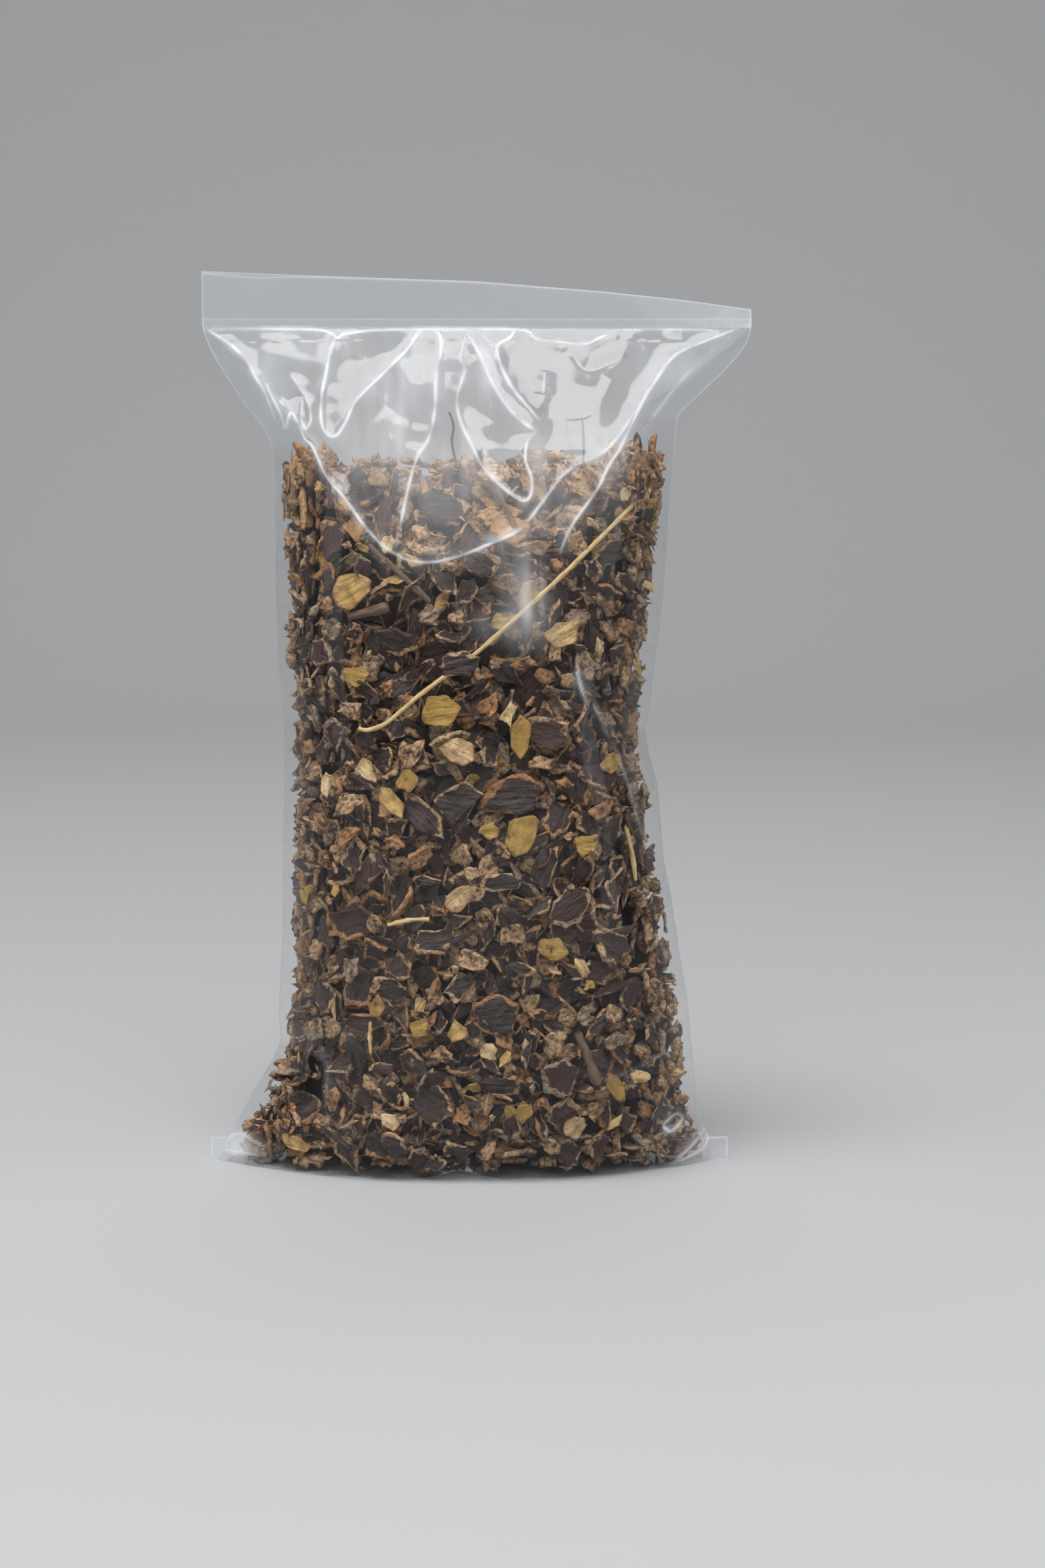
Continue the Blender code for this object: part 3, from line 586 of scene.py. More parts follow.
# The front is finer above this height, where the film is slack and creased.
SLACK_BOTTOM = 145.0
FOOT_TOP = 14.0
BOTTOM_ROWS = 26
HEADER_ROWS = 16
HEADER_HAZE = 0.11
BOTTOM_ARCH = 2.3
FRONT_EDGE_DROP = 0.8
# How far the film stays off the floor, and each sheet off the plane between them.
FILM_GAP = 0.12


def header_gap(x, share):
    """Half the gap of the open header, widest at its right end."""
    mouth = 0.25 + 0.55 * np.exp(-((x - 58) / 7.0) ** 2) + 0.3 * np.exp(-((x + 53) / 9.0) ** 2)
    return 0.05 + mouth * share ** 1.5


def header_lean(x, share):
    curl = HEADER_RIGHT_LEAN * share * np.clip(x / (FLAT_WIDTH / 2), 0, 1) ** 3
    return curl + 0.5 * share * np.sin(x / 17.0 + 0.6)


def film_rows(low, high, columns, step):
    """Rows of one face between two heights: x, half depth, height, and share of the header.

    The share is below zero on the bottom, which comes first when low is the ground, and zero on
    the wall. The header comes last when high is the seal.
    """
    even = np.linspace(-1, 1, columns)
    stations = 0.45 * np.sin(even * math.pi / 2) + 0.55 * even
    rows = []
    if low == 0:
        middle, half_width = span_at(0.0)
        for share in np.linspace(0, 1, BOTTOM_ROWS, endpoint=False):
            x = middle + half_width * stations
            depth = np.maximum(swell(x, 0.0), 0) * share
            rows.append((x, depth, np.full(x.shape, 0.0), np.full(x.shape, -1.0)))
    foot = np.arange(low, min(high, FOOT_TOP), step / 2)
    above = np.linspace(max(low, FOOT_TOP), high, round((high - max(low, FOOT_TOP)) / step) + 1)
    for z in np.concatenate([foot, above]):
        middle, half_width = span_at(z)
        x = middle + half_width * stations
        rows.append((x, np.maximum(swell(x, z), 0), np.full(x.shape, z), np.zeros(x.shape)))
    if high == SEAL_BOTTOM:
        for share in np.linspace(0, 1, HEADER_ROWS + 1)[1:]:
            x = FLAT_WIDTH / 2 * stations
            top = np.interp(x, *zip(*HEADER_EDGE))
            z = SEAL_BOTTOM + (top - SEAL_BOTTOM) * share
            rows.append((x, header_gap(x, share), z, np.full(x.shape, share)))
    return stations, [np.array(part) for part in zip(*rows)]


def film_grid(side, creases, seed, low, high, columns, step):
    """Points of one face of the bag between two heights, and its haze with painted highlights and
    reflections.
    """
    stations, (x, depth, z, header) = film_rows(low, high, columns, step)
    on_wall = header == 0

    lift, haze_and_highlight = crease_relief(x, z, creases)
    lift += swelling(x, z, side)
    above_fill = np.clip((z - 150) / 25, 0, 1)
    lift += (0.09 + 0.06 * above_fill) * waves(x, z, 16.0, seed)
    fade = np.clip(depth / 4.0, 0, 1) * np.clip((SEAL_BOTTOM - z) / 2.5, 0, 1)
    flange = np.where(depth < 1.5, 0.15 * waves(x, z, 9.0, seed + 1), 0.0)
    lift = np.where(on_wall, lift * fade + flange * np.clip((SEAL_BOTTOM - z) / 4, 0, 1), 0.0)
    arch = BOTTOM_ARCH * np.exp(-((x + 4) / 6.0) ** 2) if side < 0 else 0.0
    arched_wall = np.where(on_wall, arch * np.clip(1 - z / 9.0, 0, 1), 0.0)
    height = FILM_GAP + np.where(header < 0, arch * (depth / 23.0) ** 2, z + arched_wall)
    if side < 0:
        height -= np.clip(header, 0, 1) * FRONT_EDGE_DROP * np.exp(-((x + 53) / 11.0) ** 2)
    lean = np.where(header > 0, header_lean(x, np.clip(header, 0, 1)), 0.0)
    y = side * (FILM_GAP + depth + lift) + lean

    # Painted reflections and glints in patches on the front.
    if side < 0:
        haze_and_highlight += haze_and_reflection_patches(x, z) * (header <= 0)
    # Painted highlight: a bright thin band at each side fold and a faint painted sheen of the slanting
    # film beside it, partly the folded film's own haze.
    from_fold = (1 - np.abs(stations)) * FLAT_WIDTH / 2
    haze_and_highlight += 0.05 * np.exp(-from_fold / 2.5) + 0.22 * (from_fold < 0.35)
    haze_and_highlight = np.where(header > 0, np.maximum(haze_and_highlight, HEADER_HAZE), haze_and_highlight)
    # Painted highlight along the header's cut edge.
    haze_and_highlight = np.where(header == 1, 0.40, haze_and_highlight)
    haze_and_highlight = np.where(header < 0, 0.0, np.clip(haze_and_highlight, 0, 0.97))
    return np.stack([x, y, height], -1), haze_and_highlight


# The sheets of film: side, creases, seed, lowest and highest height, columns, and row step.
SHEETS = {
    "film_front": (-1, FRONT_CREASES, 3, 0.0, SLACK_BOTTOM, 200, 0.84),
    "film_slack": (-1, FRONT_CREASES, 3, SLACK_BOTTOM, SEAL_BOTTOM, 350, 0.25),
    "film_back": (1, BACK_CREASES, 8, 0.0, SEAL_BOTTOM, 130, 1.1),
}


def build_film(material):
    for name, (side, *sheet) in SHEETS.items():
        points, haze_and_highlight = film_grid(side, *sheet)
        rows, columns = haze_and_highlight.shape
        obj = link_mesh(name, points.reshape(-1, 3), grid_faces(rows, columns, side > 0),
                        [("haze_and_highlight", haze_and_highlight.ravel())])
        finish_piece(obj, material, "film", "bag_film")
    build_seal(material)
    for name, span in SKIRT_SPANS.items():
        build_skirt(name, span, material)


def build_seal(material):
    """The heat seal: a band of fine upright ribs across the bag."""
    pitch = 0.85
    x = np.arange(-FLAT_WIDTH / 2, FLAT_WIDTH / 2 + 0.01, pitch / 4)
    z = np.linspace(SEAL_BOTTOM, SEAL_TOP, 5)
    across, up = np.meshgrid(x, z)
    y = -0.28 - 0.07 * np.cos(math.tau * across / pitch)
    haze_and_highlight = np.where((up == z[0]) | (up == z[-1]), 0.30, 0.10) + 0.05 * np.cos(math.tau * across / pitch)
    points = np.stack([across, y, up], -1).reshape(-1, 3)
    obj = link_mesh("heat_seal", points, grid_faces(len(z), len(x)), [("haze_and_highlight", haze_and_highlight.ravel())])
    finish_piece(obj, material, "film")


def build_skirt(name, span, material):
    """The film beyond the bottom weld, standing up beside an ear, in two layers."""
    x = np.linspace(*span, 14)
    z = np.linspace(0.1, SKIRT_HEIGHT, 12)
    across, up = np.meshgrid(x, z)
    sheets, hazes_and_highlights = [], []
    for side in (-1, 1):
        y = side * (FILM_GAP + 0.25 * (up / SKIRT_HEIGHT) ** 2) + 0.25 * np.sin(up / 2.0 + across / 2.5)
        sheets.append(np.stack([across, y, up], -1).reshape(-1, 3))
        # Painted highlights along the edges of each layer.
        border = (across == x[0]) | (across == x[-1]) | (up == z[-1]) | (up == z[0])
        hazes_and_highlights.append(np.where(border, 0.5, 0.08).ravel())
    faces = grid_faces(len(z), len(x))
    obj = link_mesh(name, np.vstack(sheets), np.vstack([faces, faces[:, ::-1] + len(sheets[0])]),
                    [("haze_and_highlight", np.concatenate(hazes_and_highlights))])
    finish_piece(obj, material, "film")


# The pieces of pod

class Detail:
    """How finely a piece is meshed: points round its rim, and rings on its two faces."""

    def __init__(self, count, outer, inner):
        self.count = count
        self.outer = outer
        self.inner = inner
        self.outer_points = 1 + len(outer) * count
        self.inner_points = 1 + len(inner) * count
        self.points = self.outer_points + self.inner_points + count
        rim = self.outer_points + self.inner_points
        self.faces = np.vstack([self.dome(0, rim, len(outer)),
                                self.dome(self.outer_points, rim, len(inner))[:, ::-1]])

    def dome(self, first, rim, rings):
        """Triangles of one face: a fan round its middle point, then bands out to the rim."""
        here = np.arange(self.count)
        nexts = (here + 1) % self.count
        starts = [first + 1 + ring * self.count for ring in range(rings)] + [rim]
        rows = [np.stack([np.full(self.count, first), starts[0] + here, starts[0] + nexts], 1)]
        for low, high in zip(starts, starts[1:]):
            rows.append(np.stack([low + here, high + here, high + nexts], 1))
            rows.append(np.stack([low + here, high + nexts, low + nexts], 1))
        return np.vstack(rows)


FINE = Detail(24, (0.32, 0.60, 0.80, 0.94), (0.75,))
PLAIN = Detail(12, (0.45, 0.85), (0.8,))
FRONT_FINE_DEPTH = 4.2
# How much skin is left at a distance from a piece's middle, and how lopsided its bare rim is.
SKIN_BY_REACH = ((0.0, 0.66, 0.84, 0.96, 1.12), (1.0, 0.96, 0.74, 0.22, 0.0))
BARE_SIDE = 0.24

# The kinds of pieces: how often each comes, ranges of its size and number of corners, how curled
# and how ragged it is, whether it has skin, and how pale it is.
Kind = namedtuple("Kind", "chance length width thickness corners curl ragged skin pale")
KINDS = {
    "plate": Kind(0.27, (5.6, 12.0), (4.4, 8.2), (0.9, 1.7), (4, 7), 0.075, 0.32, True, 0.0),
    "torn_plate": Kind(0.17, (4.6, 9.2), (3.6, 6.4), (1.0, 2.1), (4, 7), 0.09, 0.45, False, 0.0),
    "lump": Kind(0.07, (3.4, 5.6), (2.9, 4.6), (2.0, 3.0), (5, 8), 0.03, 0.45, False, 0.0),
    "splinter": Kind(0.18, (5.5, 11.5), (1.8, 3.2), (1.2, 2.2), (4, 6), 0.12, 0.24, True, 0.0),
    "curl": Kind(0.09, (5.0, 8.5), (4.0, 6.0), (0.8, 1.2), (4, 6), 0.22, 0.34, True, 0.0),
    "flake": Kind(0.05, (3.2, 6.0), (2.2, 4.4), (0.35, 0.55), (4, 7), 0.12, 0.20, False, 1.0),
    "shred": Kind(0.07, (3.0, 7.0), (0.7, 1.5), (0.3, 0.6), (4, 6), 0.05, 0.20, False, 0.35),
    "crumb": Kind(0.08, (1.8, 3.2), (1.3, 2.4), (0.8, 1.6), (4, 6), 0.05, 0.20, False, 0.0),
}


def evened(values):
    """Values round a rim, each mixed with its neighbours."""
    return 0.5 * values + 0.25 * (np.roll(values, 1, 0) + np.roll(values, -1, 0))


def broken_outline(rng, count, length, width, corners, ragged):
    """A torn outline: straight breaks between uneven corners."""
    angles = (np.arange(corners) + rng.uniform(-0.3, 0.3, corners)) * math.tau / corners
    reach = rng.uniform(0.74, 1.14, corners)
    hard = np.stack([length / 2 * reach * np.cos(angles), width / 2 * reach * np.sin(angles)], 1)
    share = np.arange(count) * corners / count
    k = share.astype(int)
    t = (share - k)[:, None]
    outline = hard[k % corners] * (1 - t) + hard[(k + 1) % corners] * t
    return 1.1 * outline + evened(rng.normal(0, ragged, outline.shape))


def draw_size(rng, kind):
    spec = KINDS[kind]
    return [rng.uniform(*side) for side in (spec.length, spec.width, spec.thickness)]


def make_piece(rng, kind, size, detail):
    """Points of one piece in its own frame, with its skin, tone and grain values."""
    spec = KINDS[kind]
    length, width, thickness = size
    count = detail.count
    corners = int(rng.integers(*spec.corners))
    outline = broken_outline(rng, count, length, width, corners, spec.ragged * min(1.0, width / 4))
    bend = spec.curl * rng.uniform(-0.35, 1.0)
    cross_bend = spec.curl * rng.uniform(-0.25, 0.35)
    twist = rng.uniform(-0.03, 0.03)
    crust = rng.normal(0.15, 0.75, count) * min(thickness, 1.3) * rng.uniform(0.5, 1.2)
    crust = np.maximum(1.5 * evened(crust), -0.2)
    bite = rng.normal(0, 0.6, count)
    bite = 0.13 * (bite + np.roll(bite, 1) + rng.normal(0.1, 0.5))
    bite += BARE_SIDE * np.cos(np.arange(count) * math.tau / count - rng.uniform(0, math.tau))
    pitch = rng.uniform(1.1, 2.1)
    phase = rng.uniform(0, math.tau, 5)
    relief = (0.27 if spec.skin else 0.34) * min(1.0, width / 5)

    def sheet(p):
        """The middle surface: bent across its width and length, and twisted."""
        return bend * p[:, 1] ** 2 + cross_bend * p[:, 0] ** 2 + twist * p[:, 0] * p[:, 1]

    def ridges(p):
        return np.sin(p[:, 1] * math.tau / pitch + 0.6 * np.sin(p[:, 0] * 0.6 + phase[0]))

    def lumps(p):
        return (np.sin(p[:, 0] * 1.5 + phase[1]) * np.sin(p[:, 1] * 1.9 + phase[2])
                + 0.5 * np.sin(p[:, 0] * 3.1 + phase[3]) * np.sin(p[:, 1] * 2.9 + phase[4]))

    def laid_out(rings, values):
        """Points of a face from its middle outwards, how far out each is, and a value for each."""
        p = np.vstack([np.zeros((1, 2))] + [outline * ring for ring in rings])
        reach = np.concatenate([[0.0], np.repeat(rings, count)])
        return p, reach, np.concatenate([[0.0], np.tile(values, len(rings))])

    def crust_at(reach, crusts):
        return crusts * np.exp(-((reach - 0.95) / 0.14) ** 2)

    def half_at(reach):
        return thickness / 2 * (1 - 0.4 * reach ** 4)

    p, reach, crusts = laid_out(detail.outer, crust)
    top = sheet(p) + half_at(reach) + crust_at(reach, crusts)
    top += relief * (0.8 * ridges(p) + 0.4 * lumps(p))
    bites = laid_out(detail.outer, bite)[2]
    skin_share = np.interp(reach * (1 + bites), *SKIN_BY_REACH)
    q, reach, crusts = laid_out(detail.inner, crust)
    under = sheet(q) - half_at(reach) - 0.4 * crust_at(reach, crusts) + relief * 0.9 * lumps(q)
    rim = outline * rng.uniform(0.97, 1.09, count)[:, None]
    rim_height = sheet(rim) + 0.45 * crust + 0.16 * thickness * rng.normal(0, 1, count)
    points = np.vstack([np.column_stack([p, top]), np.column_stack([q, under]),
                        np.column_stack([rim, rim_height])])
    skins = np.zeros(detail.points)
    skins[:detail.outer_points] = skin_share * spec.skin
    skins[-count:] = 0.8 * np.interp(1 + bite, *SKIN_BY_REACH) * spec.skin
    piece = np.column_stack([skins, np.full(detail.points, rng.uniform(0, 1)),
                             np.full(detail.points, spec.pale), np.ones(detail.points)])
    grain = points + rng.uniform(-400, 400, 3)
    return points - points.mean(0), piece, grain


class Bed:
    """A surface that pieces are laid against, with a map of how deep it is covered so far."""

    cell = 0.6
    deepest = 7.5
    fine_depth = 2.4

    def __init__(self, low, high, place, allowed, clearance=0.25):
        self.low = np.array(low, float)
        self.shape = tuple(np.ceil((np.array(high) - low) / self.cell).astype(int) + 1)
        p, q = np.meshgrid(*(low[i] + self.cell * np.arange(self.shape[i]) for i in (0, 1)),
                           indexing="ij")
        self.p, self.q = p, q
        self.covered = np.full(self.shape, clearance)
        self.inside = allowed(p, q)
        self.place = place
        self.spots = np.argwhere(self.inside)

    def reserve(self, centre, radius, depth):
        near = np.hypot(self.p - centre[0], self.q - centre[1]) < radius
        self.covered[near] = np.maximum(self.covered[near], depth)

    def try_piece(self, spot, axes, size):
        """How deep a piece comes to rest at a spot, with the cells and depths it would cover."""
        first, second, normal = axes
        length, width, thickness = size
        reach = 0.62 * max(length, width) + thickness
        i0, j0 = np.maximum(((spot - reach - self.low) / self.cell).astype(int), 0)
        i1, j1 = ((spot + reach - self.low) / self.cell).astype(int) + 1
        window = (slice(i0, i1), slice(j0, j1))
        ds, dt = self.p[window] - spot[0], self.q[window] - spot[1]
        flat = np.array([[first[0], second[0]], [first[1], second[1]]])
        inverse = np.linalg.inv(flat)
        a = inverse[0, 0] * ds + inverse[0, 1] * dt
        b = inverse[1, 0] * ds + inverse[1, 1] * dt
        mask = (np.abs(a) / (length / 2)) ** 2.4 + (np.abs(b) / (width / 2)) ** 2.4 < 1
        if not mask.any():
            return None
        out = a * first[2] + b * second[2]
        half = thickness / 2 / max(abs(normal[2]), 0.35)
        rest = (self.covered[window] + out + half)[mask].max()
        return rest, window, mask, rest - out + half

    def lay(self, rng, size, tries, steepest):
        """The best of several random spots and tilts for a piece: the one that lies least deep."""
        best = None
        for _ in range(tries):
            spot = self.spots[rng.integers(len(self.spots))] * self.cell + self.low
            spot = spot + rng.uniform(-0.3, 0.3, 2)
            axes = random_axes(rng, steepest)
            found = self.try_piece(spot, axes, size)
            if found is None:
                continue
            if best is None or found[0] < best[0][0]:
                best = (found, spot, axes)
        if best is None:
            return None
        found, spot, axes = best
        return spot, self.cover(*found), axes

    def cover(self, rest, window, mask, back):
        """Mark what a piece covers, and return the depth it rests at, which keeps it in sight."""
        view = self.covered[window]
        view[mask] = np.maximum(view[mask], back[mask])
        return min(rest, self.deepest)


def random_axes(rng, steepest):
    """Length, width and normal directions in the bed's across, up and outward frame."""
    lean = math.radians(steepest) * rng.beta(1.2, 1.5)
    return leaning_axes(rng.uniform(0, math.tau), lean, rng.uniform(0, math.tau))


def leaning_axes(spin, lean, lean_way):
    normal = np.array([math.sin(lean) * math.cos(lean_way), math.sin(lean) * math.sin(lean_way),
                       math.cos(lean)])
    first = np.array([math.cos(spin), math.sin(spin), 0.0])
    first -= normal * (first @ normal)
    first /= np.linalg.norm(first)
    return first, np.cross(normal, first), normal


def wall_point(x, z, side):
    """Points on the inner face of the film, with outward, across and up directions."""
    slope_x, slope_z = slopes(x, z)
    outward = np.array([-slope_x, side, -slope_z])
    outward /= np.linalg.norm(outward)
    across = np.array([1.0, 0, 0]) - outward * outward[0]
    across /= np.linalg.norm(across)
    point = np.array([x, side * swell(x, z), z])
    return point, outward, across, np.cross(outward, across)


SIDE_STRIP = 10.5
FOLD_MARGIN = 1.6
FOLD_CLEARANCE = 1.7
FLOOR_CLEARANCE = 0.4
WALL_CLEARANCE = 0.12
SETTLE_ROUNDS = 12
FILL_TOP = 171.0
TOP_LINE = smoothed([
    (-70, 171), (-46, 171), (-38, 172.5), (-31, 168.5), (-21, 171), (-12, 168.5), (-3, 171.5),
    (7, 169.5), (17, 172), (27, 169), (35, 173), (44, 172.5), (70, 172),
], 1.5, ACROSS)


# Pieces are laid from this height up to a little below the top line.
LOWEST_PIECE, BELOW_TOP_LINE, BED_TOP = 3.0, 1.5, 178.0


def wall_bed(side):
    """The front or back wall, unrolled: distance along the section from its middle, and height."""
    levels = np.arange(0, 181.0)
    tables = []
    for z in levels:
        middle, half_width = span_at(z)
        xs = np.linspace(middle - half_width + FOLD_MARGIN, middle + half_width - FOLD_MARGIN, 161)
        run = np.concatenate([[0], np.cumsum(np.hypot(np.diff(xs), np.diff(swell(xs, z))))])
        tables.append((run - run[-1] / 2, xs))
    reach = np.array([table[0][-1] for table in tables])

    def place(s, z):
        run, xs = tables[int(np.clip(round(z), 0, len(levels) - 1))]
        return wall_point(float(np.interp(s, run, xs)), z, side)

    def allowed(s, z):
        beside = np.abs(s) < np.interp(z, levels, reach) - 0.4
        top = np.interp(0.86 * s, ACROSS, TOP_LINE) - BELOW_TOP_LINE
        return beside & (z > LOWEST_PIECE) & (z < top)

    return Bed((-75.0, 0.0), (75.0, BED_TOP), place, allowed)


def side_bed(way):
    """The strip along a side fold, seen from the side: depth from front to back, and height."""

    def place(y, z):
        middle, half_width = span_at(z)
        room = np.clip(1 - abs(y) / read(DEPTH, z), 0.05, 1)
        point = np.array([middle + way * half_width * room ** (1 / read(SQUARE, z)), y, z])
        return (point, np.array([way, 0.0, 0.0]), np.array([0.0, way, 0.0]),
                np.array([0.0, 0.0, 1.0]))

    def allowed(y, z):
        top = np.interp(way * 44.0, ACROSS, TOP_LINE) - BELOW_TOP_LINE
        return (np.abs(y) < SIDE_STRIP) & (z > LOWEST_PIECE) & (z < top)

    return Bed((-12.0, 0.0), (12.0, BED_TOP), place, allowed)


def flat_bed(level, up, shrink):
    """The top of the heap, or its base: pieces are laid on from outside."""
    middle, half_width = span_at(level)

    def place(x, y):
        height = level
        if up > 0:
            height = np.interp(x, ACROSS, TOP_LINE) + 1.5 * math.sin(x / 5 + 1) * math.cos(y / 4)
        return (np.array([x, y, height]), np.array([0, 0, up]), np.array([1.0, 0, 0]),
                np.array([0, up, 0.0]))

    def allowed(x, y):
        return np.abs(y) < swell(x, np.full(x.shape, level)) - shrink

    return Bed((middle - half_width, -30.0), (middle + half_width, 30.0), place, allowed)


def lack_of_room(points):
    """How far points stand out through the wall, past a side fold, and below the floor."""
    x, y, z = points[..., 0], points[..., 1], points[..., 2]
    slope_x, slope_z = slopes(x, z)
    wall = swell(x, z) + np.where(y < 0, swelling(x, z, -1), 0.0)
    past_wall = (np.abs(y) - wall) / np.sqrt(1 + slope_x ** 2 + slope_z ** 2)
    middle, half_width = span_at(z)
    past_fold = np.abs(x - middle) - half_width + FOLD_CLEARANCE
    return past_wall.max(1), past_fold.max(1), (FLOOR_CLEARANCE - z).max(1)


# A place of a bed is bare where it is covered to less than this, and is closed by these kinds.
BARE_DEPTH = 0.5
GAP_KINDS = ("plate", "torn_plate", "plate", "curl")
# Above this level, this share of the pieces keeps little skin and is at least so pale.
PALE_LEVEL, PALE_CHANCE = 152.0, 0.45
PALE_SKIN, PALENESS = 0.3, 0.36


class Pile:
    """All the pieces laid so far, as arrays that are joined at the end."""

    def __init__(self):
        self.made = {FINE: [], PLAIN: []}

    def add(self, rng, kind, size, bed, laid):
        spot, rest, axes = laid
        detail = FINE if rest < bed.fine_depth else PLAIN
        points, piece, grain = make_piece(rng, kind, size, detail)
        origin, outward, across, up = bed.place(*spot)
        if origin[2] > PALE_LEVEL and rng.uniform() < PALE_CHANCE:
            piece[:, 0] *= PALE_SKIN
            piece[:, 2] = np.maximum(piece[:, 2], PALENESS)
        basis = np.array([across, up, outward])
        placed = origin - outward * rest + points @ np.array(axes) @ basis
        self.made[detail].append((placed, -outward, piece, grain))

    def settle(self):
        """Push each piece inwards until it is clear of the film."""
        for detail, made in self.made.items():
            points = np.array([piece[0] for piece in made])
            inward = np.array([piece[1] for piece in made])
            for _ in range(SETTLE_ROUNDS):
                past_wall, past_fold, below = lack_of_room(points)
                move = inward * np.clip(past_wall + WALL_CLEARANCE, 0, 1.2)[:, None]
                move[:, 0] -= np.sign(points[..., 0].mean(1)) * np.clip(past_fold, 0, 1.5)
                move[:, 2] += np.clip(below, 0, 1)
                points = points + move[:, None, :]
            self.made[detail] = [(p, *piece[1:]) for p, piece in zip(points, made)]

    def build(self, name, material, most, *nodes):
        """One object for every so many triangles."""
        number = 0
        for detail, made in self.made.items():
            parts = math.ceil(len(made) * len(detail.faces) / most)
            cuts = [round(len(made) * k / parts) for k in range(parts + 1)]
            for first, last in zip(cuts, cuts[1:]):
                number += 1
                offsets = (np.arange(last - first) * detail.points)[:, None, None]
                points, _, pieces, grains = zip(*made[first:last])
                grain = np.vstack(grains)
                obj = link_mesh("%s_%d" % (name, number), np.vstack(points),
                                (detail.faces[None] + offsets).reshape(-1, 3),
                                [("piece", np.vstack(pieces)),
                                 ("grain", np.column_stack([grain, np.ones(len(grain))]))])
                finish_piece(obj, material, "husk", *nodes)


# Large plates that show on the front: x, height, length, width, turn in degrees, kind.
SHOWN_PLATES = [
    (-4.0, 91.8, 12.5, 11.0, -10, "plate"), (8.5, 93.0, 15.0, 11.5, 5, "plate"),
    (-12.5, 88.0, 13.0, 7.5, -45, "plate"), (4.0, 40.4, 12.0, 10.5, 10, "plate"),
    (-31.5, 61.6, 11.5, 9.0, 20, "plate"), (-10.0, 58.0, 10.5, 8.0, 5, "plate"),
    (-4.0, 47.6, 9.0, 7.5, 15, "plate"), (-43.0, 16.6, 9.0, 8.5, 20, "plate"),
    (-8.0, 161.0, 13.0, 9.5, 5, "plate"), (7.5, 156.0, 11.0, 7.5, -10, "plate"),
    (12.0, 139.5, 7.5, 5.0, 70, "flake"), (6.5, 133.5, 6.5, 4.2, 15, "flake"),
    (17.0, 107.0, 12.0, 8.0, -15, "plate"), (-35.5, 106.5, 9.0, 8.5, 5, "plate"),
    (22.0, 66.0, 12.0, 9.0, 30, "plate"),
    (33.0, 57.0, 11.0, 9.0, -20, "plate"), (20.0, 25.0, 10.0, 9.0, 80, "plate"),
    (38.0, 45.0, 10.0, 7.0, 60, "plate"), (-10.0, 19.0, 11.0, 9.0, -40, "plate"),
]
# Plates that lie nearly flat over a stalk or flake: the same, and how deep they lie at most.
COVERING_PLATES = [(-3.8, 123.8, 9.6, 8.0, 10, "plate", 0.95)]
COVERING_LEAN = 0.03


def lay_shown_plates(pile, bed, rng):
    """The plates that the front is known by, laid before the rest."""
    unlimited = [(*plate, math.inf) for plate in SHOWN_PLATES]
    for x, z, length, width, turn, kind, deepest in unlimited + COVERING_PLATES:
        size = [length, width, rng.uniform(1.1, 1.6)]
        lean = rng.uniform(0.05, 0.3) if deepest == math.inf else COVERING_LEAN
        axes = leaning_axes(math.radians(turn), lean, rng.uniform(0, math.tau))
        spot = np.array([arc_from_middle(x, z), z])
        rest = min(bed.cover(*bed.try_piece(spot, axes, size)), deepest)
        pile.add(rng, kind, size, bed, (spot, rest, axes))


def arc_from_middle(x, z):
    """Distance along the section from its middle to a point of the wall."""
    middle, _ = span_at(z)
    xs = np.linspace(middle, x, 60)
    return float(np.sign(x - middle) * np.hypot(np.diff(xs), np.diff(swell(xs, z))).sum())


def draw_kind(rng):
    names = list(KINDS)
    chances = np.array([KINDS[name].chance for name in names])
    return names[rng.choice(len(names), p=chances / chances.sum())]


def fill_bed(pile, bed, rng, deep_enough, steepest, tries=4, most=2500):
    """Lay pieces until the bed is covered to a mean depth, then close the gaps that are left."""
    for _ in range(most):
        kind = draw_kind(rng)
        size = draw_size(rng, kind)
        laid = bed.lay(rng, size, tries, steepest)
        if laid is not None:
            pile.add(rng, kind, size, bed, laid)
        if bed.covered[bed.inside].mean() > deep_enough:
            break
    close_gaps(pile, bed, rng, steepest)


def close_gaps(pile, bed, rng, steepest, most=500):
    """Lay pieces over the places that nothing covers yet."""
    for _ in range(most):
        gaps = np.argwhere(bed.inside & (bed.covered < BARE_DEPTH))
        if len(gaps) == 0:
            return
        kind = GAP_KINDS[rng.integers(len(GAP_KINDS))]
        size = draw_size(rng, kind)
        spot = gaps[rng.integers(len(gaps))] * bed.cell + bed.low
        axes = random_axes(rng, 0.6 * steepest)
        found = bed.try_piece(spot, axes, size)
        if found is not None:
            pile.add(rng, kind, size, bed, (spot, bed.cover(*found), axes))


# The core's rings and the points round each, and how far it lies behind the film.
CORE_RINGS, CORE_COLUMNS = 60, 48
CORE_BACKSET, CORE_SIDE_BACKSET = 9.0, 5.5


